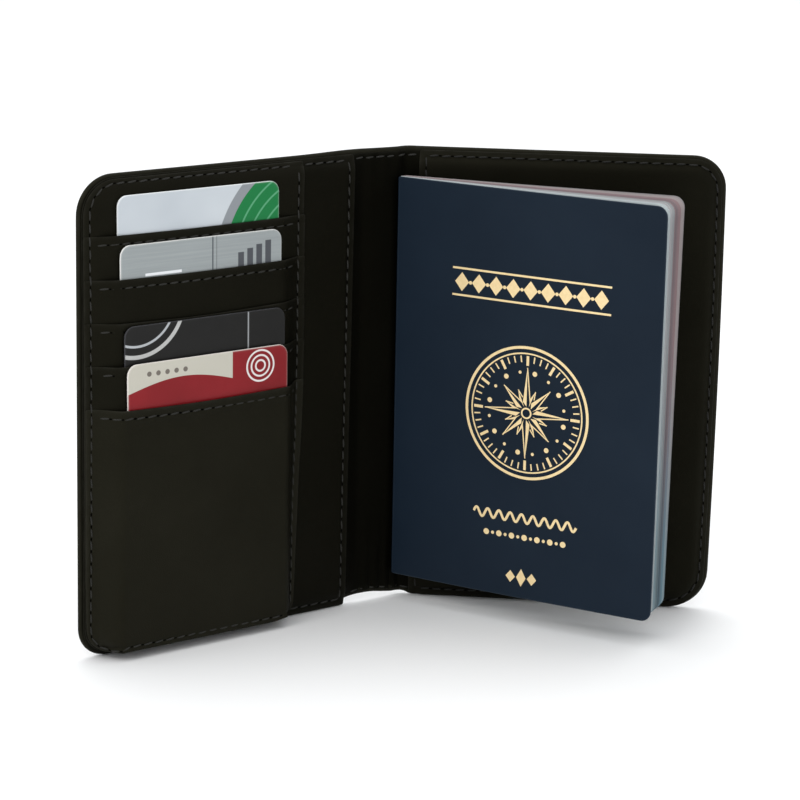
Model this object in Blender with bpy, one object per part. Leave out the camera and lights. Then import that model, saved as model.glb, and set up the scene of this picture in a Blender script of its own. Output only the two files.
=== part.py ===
"""Passport holder: a stitched leather folder standing on its lower edge, half open.

Three panels (left, spine, right) turn about two upright fold lines.  The left
panel carries a slip sleeve and a ladder of five card pockets, the right panel
carries the sleeve that holds a passport by its back cover.  Four cards and one
passport are in place.

Each panel is drawn in its own flat frame: u runs from the fold line to the
outer edge, z runs up, and n runs from the outside of the folder (negative)
towards the inside (positive), with n = 0 on the fold line.
Lengths in this file are millimetres; the objects are built in metres.
"""
import math

import bmesh
import bpy
from mathutils import Vector

MM = 0.001

# ---------------------------------------------------------------- dimensions
HEIGHT = 142.0            # upright height of the folder
PANEL_W = 95.2            # fold line to outer edge
SPINE_W = 19.0            # between the two fold lines
CORNER_R = 11.0           # outer corners

LEFT_HEADING = 35.8       # degrees, how far the left panel comes forward
SPINE_HEADING = 32.7      # degrees, direction of the spine panel
RIGHT_HEADING = 5.5       # degrees, how far the right panel comes forward

COVER_OUT, COVER_IN = -0.6, 0.4      # outer cover, outside and inside face
FOLD_GAP = 0.6                       # each panel's cover starts this far from the fold line
BOARD_N = (0.6, 1.1)                 # stiffener
LINING_N = (1.3, 1.7)
SPINE_LINING_N = (0.7, 1.1)
SLEEVE_EDGE_U = 2.4                  # folded edge of both full-height sleeves

SLIP_N = (1.9, 2.6)                  # left slip sleeve, with a shallow recess behind it
SLIP_RECESS = 0.3
BACKING_N = (2.7, 3.1)               # sheet that the card pockets are sewn to
STACK_U0 = 21.8                      # folded inner edge of the card pockets
STACK_U1 = PANEL_W - 0.3

CARD_W, CARD_H, CARD_T, CARD_R = 54.0, 85.6, 0.76, 3.18
CARD_U0 = PANEL_W - 12.1 - CARD_W    # card's side nearest the fold
CARD_TOPS = (136.0, 122.0, 99.0, 88.2)
CARD_N = (3.35, 4.86, 7.02, 8.53)    # back face of each card
CARD_POCKET = (1, 2, 4, 5)           # which pocket each card stands in

POCKET_MOUTHS = (125.0, 112.6, 100.2, 87.8, 75.4)
POCKET_FLOORS = (50.2, 36.2, 24.0, 13.2, 2.4)      # inside, lower end of each pocket
POCKET_FEET = (47.8, 33.8, 21.6, 10.8, 0.5)        # outside, lower end of each pocket
POCKET_BACK = (3.30, 4.64, 6.17, 6.80, 8.31)       # rim's back face
POCKET_PLATE = (4.21, 5.72, 6.37, 7.88, 9.39)      # plate's back face
POCKET_FRONT = (4.56, 6.07, 6.72, 8.23, 9.79)      # plate's front face
RIM_OUTER, RIM_INNER = 4.0, 3.6                    # sewn margins of a pocket

SLEEVE_N = (1.9, 3.0)                # passport sleeve with its rim
SLEEVE_PLATE = 2.5
SLEEVE_MARGIN = 3.0

THREAD_W, THREAD_T, THREAD_LIFT = 0.7, 0.12, 0.08
HEM = 2.5                            # hem thread below a pocket mouth
EDGE_IN = 2.6                        # perimeter thread from top, bottom and right edge
EDGE_IN_LEFT = 3.1

PASS_W, PASS_H, PASS_R = 88.0, 125.0, 3.3
PASS_Z0 = 8.5
PASS_BACK_U = (1.5, 85.5)
PASS_BACK_N = (2.0, 2.4)
PASS_SPINE = ((1.2, 2.2), (-0.6, 2.75), (-1.9, 3.9), (-2.4, 5.0))
PASS_SPINE_T = 0.4
LEAF_AXES = ((-0.6, 3.7), (-1.3, 4.3), (-1.8, 4.9), (-1.9, 5.5))
LEAF_ANGLES = (17.0, 19.4, 21.6, 23.6)
LEAF_T = 0.5
LEAF_FORE_EDGE = 84.7
LEAF_INSET = 0.6
COVER_AXIS = (-2.3, 5.85)
COVER_ANGLE = 23.6
COVER_N = (0.05, 0.45)

# ---------------------------------------------------------------- colours
LEATHER = (0.0105, 0.0100, 0.0085)
LINING = (0.0125, 0.0120, 0.0100)
BOARD = (0.30, 0.27, 0.22)
THREAD = (0.060, 0.058, 0.050)
NAVY = (0.0090, 0.0150, 0.0300)
PAPER = (0.78, 0.76, 0.72)
CARD_COLOURS = ((0.56, 0.60, 0.64), (0.36, 0.38, 0.40), (0.015, 0.016, 0.018), (0.35, 0.014, 0.026))

# ---------------------------------------------------------------- clean scene
for old in list(bpy.data.objects):
    bpy.data.objects.remove(old, do_unlink=True)


def material(name, colour, rough, metallic=0.0):
    mat = bpy.data.materials.new(name)
    mat.use_nodes = True
    bsdf = mat.node_tree.nodes["Principled BSDF"]
    bsdf.inputs["Base Color"].default_value = (*colour, 1.0)
    bsdf.inputs["Roughness"].default_value = rough
    bsdf.inputs["Metallic"].default_value = metallic
    return mat


def frame(name, parent, x, y, degrees):
    """An empty whose x axis is the panel's u direction."""
    empty = bpy.data.objects.new(name, None)
    bpy.context.scene.collection.objects.link(empty)
    empty.empty_display_size = 0.01
    empty.location = (x * MM, y * MM, 0.0)
    empty.rotation_euler = (0.0, 0.0, math.radians(degrees))
    empty.parent = parent
    return empty


# ---------------------------------------------------------------- outlines
def rounded(u0, u1, z0, z1, radii, steps=8):
    """Rectangle outline with radii for its corners (u0z0, u1z0, u1z1, u0z1)."""
    corners = ((u0, z0, 180.0), (u1, z0, 270.0), (u1, z1, 0.0), (u0, z1, 90.0))
    points = []
    for (u, z, start), r in zip(corners, radii):
        if r <= 0.0:
            points.append((u, z))
            continue
        cu = u + r if u == u0 else u - r
        cz = z + r if z == z0 else z - r
        for i in range(steps + 1):
            a = math.radians(start + 90.0 * i / steps)
            points.append((cu + r * math.cos(a), cz + r * math.sin(a)))
    return points


def ribbon(path, width):
    """Outline of a flat band that follows an open path."""
    left, right = [], []
    for i, (u, z) in enumerate(path):
        a = path[max(i - 1, 0)]
        b = path[min(i + 1, len(path) - 1)]
        du, dz = b[0] - a[0], b[1] - a[1]
        length = math.hypot(du, dz)
        nu, nz = -dz / length * width / 2, du / length * width / 2
        left.append((u + nu, z + nz))
        right.append((u - nu, z - nz))
    return left + right[::-1]


def arc(cu, cz, r, a0, a1, steps=8):
    return [(cu + r * math.cos(math.radians(a0 + (a1 - a0) * i / steps)),
             cz + r * math.sin(math.radians(a0 + (a1 - a0) * i / steps))) for i in range(steps + 1)]


# ---------------------------------------------------------------- solids
def add_prism(bm, outline, n0, n1, side):
    """Extrude an outline in (u, z) from n0 to n1; side is +1 or -1 for n along +y or -y."""
    verts = [bm.verts.new((u * MM, side * n0 * MM, z * MM)) for u, z in outline]
    face = bm.faces.new(verts)
    top = bmesh.ops.extrude_face_region(bm, geom=[face])
    moved = [v for v in top["geom"] if isinstance(v, bmesh.types.BMVert)]
    bmesh.ops.translate(bm, verts=moved, vec=Vector((0.0, side * (n1 - n0) * MM, 0.0)))


def finish(bm, name, parent, mat):
    bmesh.ops.recalc_face_normals(bm, faces=bm.faces[:])
    mesh = bpy.data.meshes.new(name)
    bm.to_mesh(mesh)
    bm.free()
    obj = bpy.data.objects.new(name, mesh)
    bpy.context.scene.collection.objects.link(obj)
    obj.parent = parent
    if mat:
        mesh.materials.append(mat)
    return obj


def sheet(name, parent, side, outline, n0, n1, colour, rough, metallic=0.0):
    bm = bmesh.new()
    add_prism(bm, outline, n0, n1, side)
    return finish(bm, name, parent, material(name, colour, rough, metallic))


def thread(name, parent, side, path):
    """One line of sewing: a flat band along a path of (u, z, surface), lying just clear of the surface."""
    bm = bmesh.new()
    outline = ribbon([(u, z) for u, z, n in path], THREAD_W)
    count = len(path)
    rings = []
    for i, (u, z, n) in enumerate(path):
        sides = (outline[i], outline[2 * count - 1 - i])
        rings.append([bm.verts.new((p[0] * MM, side * m * MM, p[1] * MM))
                      for p, m in ((sides[0], n + THREAD_LIFT), (sides[1], n + THREAD_LIFT),
                                   (sides[1], n + THREAD_LIFT + THREAD_T), (sides[0], n + THREAD_LIFT + THREAD_T))])
    for a, b in zip(rings, rings[1:]):
        for k in range(4):
            bm.faces.new((a[k], a[(k + 1) % 4], b[(k + 1) % 4], b[k]))
    bm.faces.new(rings[0])
    bm.faces.new(rings[-1])
    return finish(bm, name, parent, material(name, THREAD, 0.7))


def recess(obj, side, u0, u1, z0, z1, n0, n1):
    """Cut a shallow pocket space into the back of a sheet."""
    bm = bmesh.new()
    add_prism(bm, [(u0, z0), (u1, z0), (u1, z1), (u0, z1)], n0, n1, side)
    cutter = finish(bm, "cutter_" + obj.name, obj.parent, None)
    cutter.hide_render = True
    cutter.display_type = 'WIRE'
    cut = obj.modifiers.new("recess", 'BOOLEAN')
    cut.operation = 'DIFFERENCE'
    cut.solver = 'EXACT'
    cut.object = cutter


# ---------------------------------------------------------------- frames
spine_dir = (math.cos(math.radians(SPINE_HEADING)), math.sin(math.radians(SPINE_HEADING)))
root = frame("holder", None, 0.0, 0.0, 0.0)
left = frame("left_fold", root, 0.0, 0.0, 180.0 + LEFT_HEADING)
spine = frame("spine_panel", root, 0.0, 0.0, SPINE_HEADING)
right = frame("right_fold", root, SPINE_W * spine_dir[0], SPINE_W * spine_dir[1], -RIGHT_HEADING)
L, R = 1.0, -1.0          # n runs along +y in the left frame and along -y in the others


def panel_outline(inset, u0, radius=None):
    r = CORNER_R - inset if radius is None else radius
    return rounded(u0, PANEL_W - inset, inset, HEIGHT - inset, (0.0, r, r, 0.0))


# ---------------------------------------------------------------- shell
for tag, parent, side in (("left", left, L), ("right", right, R)):
    sheet("outer_cover_" + tag, parent, side, panel_outline(0.0, FOLD_GAP),
          COVER_OUT, COVER_IN, LEATHER, 0.55)
    sheet("stiffener_" + tag, parent, side, panel_outline(2.0, 2.6), *BOARD_N, BOARD, 0.85)
    sheet("lining_" + tag, parent, side, panel_outline(0.5, 1.9), *LINING_N, LINING, 0.62)

sheet("outer_cover_spine", spine, R,
      rounded(FOLD_GAP, SPINE_W - FOLD_GAP, 0.0, HEIGHT, (0, 0, 0, 0)),
      COVER_OUT, COVER_IN, LEATHER, 0.55)
sheet("lining_spine", spine, R,
      rounded(1.3, SPINE_W - 1.3, 0.5, HEIGHT - 0.5, (0, 0, 0, 0)),
      *SPINE_LINING_N, LINING, 0.62)

# ---------------------------------------------------------------- left sleeve and card pockets
slip = sheet("slip_sleeve_left", left, L, panel_outline(0.3, SLEEVE_EDGE_U), *SLIP_N, LEATHER, 0.55)
recess(slip, L, SLEEVE_EDGE_U - 2.0, PANEL_W - 4.0, 3.0, HEIGHT - 3.0, SLIP_N[0] - 1.0, SLIP_N[0] + SLIP_RECESS)

sheet("card_backing", left, L, panel_outline(0.3, STACK_U0), *BACKING_N, LEATHER, 0.55)

for i in range(5):
    foot, mouth = POCKET_FEET[i], POCKET_MOUTHS[i]
    corner = CORNER_R - 0.3 if i == 4 else 0.0
    pocket = sheet("card_pocket_%d" % (i + 1), left, L,
                   rounded(STACK_U0, STACK_U1, foot, mouth, (0.0, corner, 0.0, 0.0)),
                   POCKET_BACK[i], POCKET_FRONT[i], LEATHER, 0.55)
    recess(pocket, L, STACK_U0 + RIM_INNER, STACK_U1 - RIM_OUTER, POCKET_FLOORS[i], mouth + 3.0,
           POCKET_BACK[i] - 1.0, POCKET_PLATE[i])

for i in range(4):
    top = CARD_TOPS[i]
    sheet("card_%d" % (i + 1), left, L,
          rounded(CARD_U0, CARD_U0 + CARD_W, top - CARD_H, top, (CARD_R,) * 4, 6),
          CARD_N[i], CARD_N[i] + CARD_T, CARD_COLOURS[i], 0.32)

# ---------------------------------------------------------------- passport sleeve
sleeve = sheet("passport_sleeve", right, R, panel_outline(0.3, SLEEVE_EDGE_U), *SLEEVE_N, LEATHER, 0.55)
recess(sleeve, R, SLEEVE_EDGE_U - 2.0, PANEL_W - 3.6, SLEEVE_MARGIN, HEIGHT - SLEEVE_MARGIN,
       SLEEVE_N[0] - 1.0, SLEEVE_PLATE)


# ---------------------------------------------------------------- sewing
def flat(points, n):
    return [(u, z, n) for u, z in points]


edge_u = PANEL_W - EDGE_IN
edge_r = CORNER_R - EDGE_IN
thread("perimeter_thread_right", right, R, flat(
    [(6.0, HEIGHT - EDGE_IN)]
    + arc(edge_u - edge_r, HEIGHT - EDGE_IN - edge_r, edge_r, 90.0, 0.0)
    + arc(edge_u - edge_r, EDGE_IN + edge_r, edge_r, 0.0, -90.0)
    + [(6.0, EDGE_IN)], SLEEVE_N[1]))
thread("sleeve_thread_right", right, R, flat(
    [(SLEEVE_EDGE_U + 2.2, 1.4), (SLEEVE_EDGE_U + 2.2, HEIGHT - 1.4)], SLEEVE_N[1]))
thread("sleeve_thread_left", left, L, flat(
    [(SLEEVE_EDGE_U + 2.1, 1.4), (SLEEVE_EDGE_U + 2.1, HEIGHT - 1.4)], SLIP_N[1]))
for tag, z in (("bottom", EDGE_IN), ("top", HEIGHT - EDGE_IN)):
    thread("perimeter_thread_spine_" + tag, spine, R, flat([(1.6, z), (SPINE_W - 1.6, z)], SPINE_LINING_N[1]))

side_u = PANEL_W - EDGE_IN_LEFT
side_r = CORNER_R - EDGE_IN_LEFT
seam_u = STACK_U0 + 2.1


def down_the_pockets(u, z_from, z_to):
    """A line that runs down over the five pocket mouths and steps out at each one."""
    path, surface = [(u, z_from, BACKING_N[1])], BACKING_N[1]
    for mouth, front in zip(POCKET_MOUTHS, POCKET_FRONT):
        path += [(u, mouth + 1.2, surface), (u, mouth + 0.1, front)]
        surface = front
    return path + [(u, z_to, surface)]


thread("pocket_seam_thread", left, L, down_the_pockets(seam_u, HEIGHT - 1.6, 1.6))
column = down_the_pockets(side_u, HEIGHT - EDGE_IN - side_r, EDGE_IN + side_r)
thread("perimeter_thread_left", left, L,
       [(seam_u + 1.0, HEIGHT - EDGE_IN, BACKING_N[1])]
       + flat(arc(side_u - side_r, HEIGHT - EDGE_IN - side_r, side_r, 90.0, 0.0), BACKING_N[1])
       + column[1:-1]
       + flat(arc(side_u - side_r, EDGE_IN + side_r, side_r, 0.0, -90.0), POCKET_FRONT[4])
       + [(seam_u + 1.0, EDGE_IN, POCKET_FRONT[4])])
for tag, z in (("bottom", EDGE_IN), ("top", HEIGHT - EDGE_IN)):
    thread("slip_sleeve_thread_" + tag, left, L, flat([(6.0, z), (STACK_U0 - 0.8, z)], SLIP_N[1]))
for i in range(5):
    z = POCKET_MOUTHS[i] - HEM
    thread("pocket_hem_thread_%d" % (i + 1), left, L,
           flat([(seam_u + 1.0, z), (side_u - 1.0, z)], POCKET_FRONT[i]))

# ---------------------------------------------------------------- passport
z0, z1 = PASS_Z0, PASS_Z0 + PASS_H
sheet("passport_back_cover", right, R,
      rounded(*PASS_BACK_U, z0, z1, (0.0, PASS_R, PASS_R, 0.0), 6), *PASS_BACK_N, NAVY, 0.5)

# The passport's own folded spine: a bent strip, drawn as a plan outline and raised in z.
bm = bmesh.new()
plan = ribbon(PASS_SPINE, PASS_SPINE_T)
verts = [bm.verts.new((u * MM, R * n * MM, z0 * MM)) for u, n in plan]
base = bm.faces.new(verts)
raised = bmesh.ops.extrude_face_region(bm, geom=[base])
bmesh.ops.translate(bm, verts=[v for v in raised["geom"] if isinstance(v, bmesh.types.BMVert)],
                    vec=Vector((0.0, 0.0, (z1 - z0) * MM)))
finish(bm, "passport_spine", right, material("passport_spine", NAVY, 0.5))

for i in range(4):
    u, n = LEAF_AXES[i]
    hinge = frame("leaf_hinge_%d" % (i + 1), right, u, -n, -LEAF_ANGLES[i])
    sheet("passport_leaves_%d" % (i + 1), hinge, R,
          rounded(0.0, LEAF_FORE_EDGE - u, z0 + LEAF_INSET, z1 - LEAF_INSET, (0.0, PASS_R, PASS_R, 0.0), 6),
          -LEAF_T / 2, LEAF_T / 2, PAPER, 0.8)

hinge = frame("front_cover_hinge", right, COVER_AXIS[0], -COVER_AXIS[1], -COVER_ANGLE)
sheet("passport_front_cover", hinge, R,
      rounded(-0.2, PASS_W - 0.2, z0, z1, (0.0, PASS_R, PASS_R, 0.0), 6), *COVER_N, NAVY, 0.5)

# ---------------------------------------------------------------- origin: middle of the footprint, on the ground
bpy.context.view_layer.update()
# The tilted panels' own boxes overhang their corners, so the footprint is read from the vertices.
low, high = Vector((1e9,) * 3), Vector((-1e9,) * 3)
for obj in bpy.data.objects:
    if obj.type == 'MESH' and not obj.hide_render:
        for v in obj.data.vertices:
            p = obj.matrix_world @ v.co
            low = Vector(map(min, low, p))
            high = Vector(map(max, high, p))
root.location = (-(low.x + high.x) / 2, -(low.y + high.y) / 2, -low.z)
bpy.context.view_layer.update()
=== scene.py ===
"""Looks of the passport holder: leather, sewing, cards and booklet around the fixed frame.

Flat coordinates are millimetres.  A panel has u from its fold line outwards, n from the
outside (negative) to the inside (positive) and z up.  The cover and the lining use one
running coordinate x instead: 0 at the left fold, 19 at the right fold, the left panel
at negative x and the right panel beyond 19.
"""

import math

import bpy
import numpy as np
from mathutils import Matrix


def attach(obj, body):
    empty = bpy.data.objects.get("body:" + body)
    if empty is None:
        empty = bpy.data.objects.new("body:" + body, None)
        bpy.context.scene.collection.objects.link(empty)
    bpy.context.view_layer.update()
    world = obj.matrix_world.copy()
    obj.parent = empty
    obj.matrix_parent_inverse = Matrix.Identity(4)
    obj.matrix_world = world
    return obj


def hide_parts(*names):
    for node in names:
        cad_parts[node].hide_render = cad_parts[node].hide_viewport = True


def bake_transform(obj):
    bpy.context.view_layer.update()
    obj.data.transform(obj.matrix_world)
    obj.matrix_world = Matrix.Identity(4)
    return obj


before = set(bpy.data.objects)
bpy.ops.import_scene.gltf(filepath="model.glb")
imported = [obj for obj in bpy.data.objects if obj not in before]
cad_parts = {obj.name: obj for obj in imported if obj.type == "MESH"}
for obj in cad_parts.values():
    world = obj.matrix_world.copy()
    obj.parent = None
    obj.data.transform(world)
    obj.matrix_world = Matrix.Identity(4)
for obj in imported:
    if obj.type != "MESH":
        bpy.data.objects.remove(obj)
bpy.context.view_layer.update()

MM = 0.001

# ---------------------------------------------------------------- where things are
HL = np.array([-16.6218, 26.3242])
HR = np.array([-0.6331, 36.5888])
A_LEFT, A_SPINE, A_RIGHT = (math.radians(a) for a in (35.8, 32.7, 5.5))
LU = np.array([-math.cos(A_LEFT), -math.sin(A_LEFT)])
LN = np.array([math.sin(A_LEFT), -math.cos(A_LEFT)])
ST = np.array([math.cos(A_SPINE), math.sin(A_SPINE)])
SN = np.array([math.sin(A_SPINE), -math.cos(A_SPINE)])
RU = np.array([math.cos(A_RIGHT), -math.sin(A_RIGHT)])
RN = np.array([-math.sin(A_RIGHT), -math.cos(A_RIGHT)])

HEIGHT, PANEL, SPINE = 142.0, 95.2, 19.0
CUT = 13.9                       # where the two cover pieces meet, on the spine
BEND_L = (-2.6, 5.4)             # leather that bends at the left fold
BEND_R = (14.0, 21.8)            # leather that bends at the right fold
TURN_L, TURN_R = math.radians(-3.1), math.radians(38.2)

STACK_U0, STACK_U1 = 21.8, 94.0
SEAM_U, COLUMN_U = 23.9, 92.1
MOUTHS = (125.0, 112.6, 100.2, 87.8, 75.4)
FEET = (47.8, 33.8, 21.6, 10.8, 2.0)
FRONTS = (4.56, 6.07, 6.80, 8.23, 9.79)
PLATES = (0.33, 0.30, 0.25, 0.33, 0.38)
HEMS = (0.19, 0.19, 0.11, 0.19, 0.26)
CARD_U0, CARD_W, CARD_H, CARD_T, CARD_R = 29.9, 54.0, 85.6, 0.76, 3.18
CARD_TOPS = (136.0, 122.0, 99.0, 88.2)
CARD_N = (3.35, 4.86, 7.02, 8.53)
STITCH_IN = 2.6
SPINE_LINE = 2.0                 # the spine's lower row of stitches
R_TL, R_BL, R_TR, R_BR = 11.5, 9.2, 9.8, 12.2


def smooth(t):
    t = np.clip(t, 0.0, 1.0)
    return t * t * (3.0 - 2.0 * t)


def turn(x, n, angle):
    c, s = np.cos(angle), np.sin(angle)
    return x * c - n * s, x * s + n * c


def stand(xy, z):
    return np.stack([xy[..., 0] * MM, xy[..., 1] * MM, z * MM], -1)


def lean_left(u, z):
    """The left panel's outer side leans out a little towards the bottom."""
    return (0.95 * (1 - z / HEIGHT) - 0.30) * smooth((u - 68.0) / 24.0)


def lean_right(u, z):
    return 0.50 * np.sin(math.pi * np.clip(z / HEIGHT, 0, 1)) * smooth((u - 68.0) / 24.0)


def on_left_flat(u, n, z):
    return stand(HL + u[..., None] * LU + n[..., None] * LN, z)


def on_right_flat(u, n, z):
    return stand(HR + u[..., None] * RU + n[..., None] * RN, z)


def on_left(u, n, z):
    return on_left_flat(u + lean_left(u, z), n, z)


def on_right(u, n, z):
    return on_right_flat(u + lean_right(u, z), n, z)


def on_cover(x, n, z):
    """The running coordinate, bent at both folds as it stands at rest."""
    x = x - lean_left(-x, z) + lean_right(x - SPINE, z)
    wl = 1.0 - smooth((x - BEND_L[0]) / (BEND_L[1] - BEND_L[0]))
    wr = smooth((x - BEND_R[0]) / (BEND_R[1] - BEND_R[0]))
    t, m = turn(x, n, TURN_L * wl)
    t, m = turn(t - SPINE, m, TURN_R * wr)
    t = t + SPINE
    return stand(HL + t[..., None] * ST + m[..., None] * SN, z)


def hinged(origin, degrees):
    """A frame of the booklet that turns about an upright line."""
    o = np.array(origin) * 1000.0
    a = -math.radians(5.5 + degrees)
    ax = np.array([math.cos(a), math.sin(a)])
    an = np.array([math.sin(a), -math.cos(a)])
    return lambda x, n, z: stand(o + x[..., None] * ax + n[..., None] * an, z)


def wave(a, b, seed=0.0):
    """Slow unevenness of hand-worked leather, about -1 to 1."""
    return (0.5 * np.sin(a * 0.071 + b * 0.043 + 1.3 + seed) + 0.3 * np.sin(a * 0.137 - b * 0.093 + 0.4 + 2.1 * seed)
            + 0.2 * np.sin(-a * 0.051 + b * 0.191 + 2.9 + 1.7 * seed))


# ---------------------------------------------------------------- meshes
def new_object(name, verts, faces, mats, uv=None, wear=None, face_mat=None, sharp=50.0):
    mesh = bpy.data.meshes.new(name)
    mesh.from_pydata([tuple(v) for v in verts], [], [tuple(int(i) for i in f) for f in faces])
    for m in mats:
        mesh.materials.append(m)
    if face_mat is not None:
        mesh.polygons.foreach_set("material_index", np.asarray(face_mat, np.int32))
    loops = np.zeros(len(mesh.loops), np.int32)
    mesh.loops.foreach_get("vertex_index", loops)
    if uv is not None:
        layer = mesh.uv_layers.new(name="flat")
        layer.data.foreach_set("uv", np.asarray(uv, np.float32)[loops].ravel())
    if wear is not None:
        attribute = mesh.attributes.new("wear", "FLOAT", "POINT")
        attribute.data.foreach_set("value", np.asarray(wear, np.float32))
    mesh.update()
    mesh.shade_smooth()
    if sharp:
        mesh.set_sharp_from_angle(angle=math.radians(sharp))
    obj = bpy.data.objects.new(name, mesh)
    bpy.context.scene.collection.objects.link(obj)
    return obj


DENSE = np.array([0, .07, .18, .34, .56, .85, 1.2, 1.55, 1.9, 2.2, 2.5, 2.8, 3.15, 3.6, 4.3, 5.3, 6.2, 7.2, 8.6, 10.2, 12.4])
SPARSE = np.array([0, .12, .35, .7, 1.2, 1.9, 2.4, 2.9, 3.6, 5.0])


def between(a, b, step):
    count = max(1, int(round((b - a) / step)))
    return np.linspace(a, b, count + 1)


def ladder(lo, hi, step, low_side=DENSE, high_side=DENSE, extra=()):
    """Positions from lo to hi: close together near both ends and round each extra."""
    a = lo + (low_side if low_side is not None else np.array([0.0]))
    b = hi - (high_side if high_side is not None else np.array([0.0]))[::-1]
    middle = between(a[-1], b[0], step)[1:-1]
    out = np.concatenate([a, middle, b])
    for e in extra:
        near = e + np.array([-1.2, -0.7, -0.35, 0.0, 0.35, 0.7, 1.2])
        out = out[(out < near[0] - 0.25) | (out > near[-1] + 0.25)]
        out = np.concatenate([out, near])
    return np.unique(np.round(out, 5))


def inside(x, z, box, radii):
    """Distance in from a rectangle's edge with rounded corners (x0z0, x1z0, x1z1, x0z1)."""
    x0, x1, z0, z1 = box
    cx, cz = (x0 + x1) / 2, (z0 + z1) / 2
    r = np.where(x < cx, np.where(z < cz, radii[0], radii[3]), np.where(z < cz, radii[1], radii[2]))
    qx = np.abs(x - cx) - (x1 - x0) / 2 + r
    qz = np.abs(z - cz) - (z1 - z0) / 2 + r
    out = np.hypot(np.maximum(qx, 0), np.maximum(qz, 0)) + np.minimum(np.maximum(qx, qz), 0)
    return r - out


def side_line(z, edge, sign, z0, z1, r0, r1):
    """Where a side with rounded ends lies at each height; sign +1 for the low side."""
    x = np.full_like(z, edge, dtype=float)
    for r, h in ((r0, z - z0), (r1, z1 - z)):
        if r > 0:
            k = np.clip(r - h, 0, r)
            x = x + np.where(h < r, sign * (r - np.sqrt(np.maximum(r * r - k * k, 0))), 0)
    return x


def leaf(name, place, rows, cols, box, radii, front, back, mats, body=None, re=None, cut=(False, False),
         lo_shift=None, wear_depth=0.9, uv_shift=(0.0, 0.0), sharp=50.0, z_move=None, thin=0.10):
    """A closed sheet with rounded edges.

    rows and cols are positions in z and x.  front and back give n at (x, z, d), with d the
    distance in from the edge.  cut marks sides (low x, high x) that meet another sheet.
    """
    x0, x1, z0, z1 = box
    z = rows[:, None] + 0 * cols[None, :]
    lo = side_line(rows, x0, 1, z0, z1, radii[0], radii[3])
    hi = side_line(rows, x1, -1, z0, z1, radii[1], radii[2])
    if lo_shift is not None:
        lo = lo + lo_shift(rows)
    mid = (x0 + x1) / 2
    reach = 12.6 + max(radii)
    x = np.empty_like(z)
    for j, c in enumerate(cols):
        from_lo, from_hi = c - x0, x1 - c
        k_lo = np.clip(1 - from_lo / reach, 0, 1) if not cut[0] else 0.0
        k_hi = np.clip(1 - from_hi / reach, 0, 1) if not cut[1] else 0.0
        # close to an edge the columns keep their distance from it
        k_lo = 1.0 if from_lo <= 4.0 and not cut[0] else min(1.0, k_lo * reach / (reach - 4.0))
        k_hi = 1.0 if from_hi <= 4.0 and not cut[1] else min(1.0, k_hi * reach / (reach - 4.0))
        x[:, j] = c + (lo - x0) * k_lo + (hi - x1) * k_hi
    sx0 = x0 - (500 if cut[0] else 0)
    sx1 = x1 + (500 if cut[1] else 0)
    shift = lo_shift(rows)[:, None] * np.clip(1 - (x - x0) / 20.0, 0, 1) if lo_shift is not None else 0.0
    d = np.maximum(inside(x - shift, z, (sx0, sx1, z0, z1), radii), 0.0)
    nf, nb = front(x, z, d), back(x, z, d)
    half = (nf - nb) / 2
    centre = (nf + nb) / 2
    r_edge = half.mean() if re is None else re
    prof = np.sqrt(np.maximum(1 - (1 - np.minimum(d / r_edge, 1.0)) ** 2, 0.0))
    prof = np.maximum(prof, thin)
    nf, nb = centre + half * prof, centre - half * prof
    zz = z if z_move is None else z + z_move(x, z)
    pf, pb = place(x, nf, zz), place(x, nb, zz)
    R, C = z.shape
    verts = np.concatenate([pf.reshape(-1, 3), pb.reshape(-1, 3)])
    idx = np.arange(R * C).reshape(R, C)
    faces = []
    q = np.stack([idx[:-1, :-1], idx[:-1, 1:], idx[1:, 1:], idx[1:, :-1]], -1).reshape(-1, 4)
    faces.append(q)
    faces.append(q[:, ::-1] + R * C)
    ring = np.concatenate([idx[0, :], idx[1:, -1], idx[-1, -2::-1], idx[-2:0:-1, 0]])
    nxt = np.roll(ring, -1)
    faces.append(np.stack([ring, ring + R * C, nxt + R * C, nxt], -1))
    faces = np.concatenate(faces)
    # faces point outwards: test the first one against the n direction
    a, b, c = pf[R // 2, C // 2], pf[R // 2, C // 2 + 1], pf[R // 2 + 1, C // 2]
    if np.dot(np.cross(b - a, c - a), pf[R // 2, C // 2] - pb[R // 2, C // 2]) < 0:
        faces = faces[:, ::-1]
    uv = np.stack([(x + uv_shift[0]) / 100, (z + uv_shift[1]) / 100], -1).reshape(-1, 2)
    wear = np.exp(-d / wear_depth).reshape(-1)
    obj = new_object(name, verts, faces, mats, np.concatenate([uv, uv]), np.concatenate([wear, wear]), sharp=sharp)
    if body:
        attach(obj, body)
    return obj


class Shape:
    """Collects closed bits that become one object."""

    def __init__(self):
        self.v, self.f, self.m, self.n = [], [], [], 0

    def add(self, verts, faces, mat=0):
        self.v.append(np.asarray(verts, float))
        self.f += [tuple(int(i) + self.n for i in f) for f in faces]
        self.m += [mat] * len(faces)
        self.n += len(verts)

    def make(self, name, mats, sharp=50.0, uv=None):
        verts = np.concatenate(self.v)
        return new_object(name, verts, self.f, mats, uv=uv, face_mat=self.m, sharp=sharp)


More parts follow.
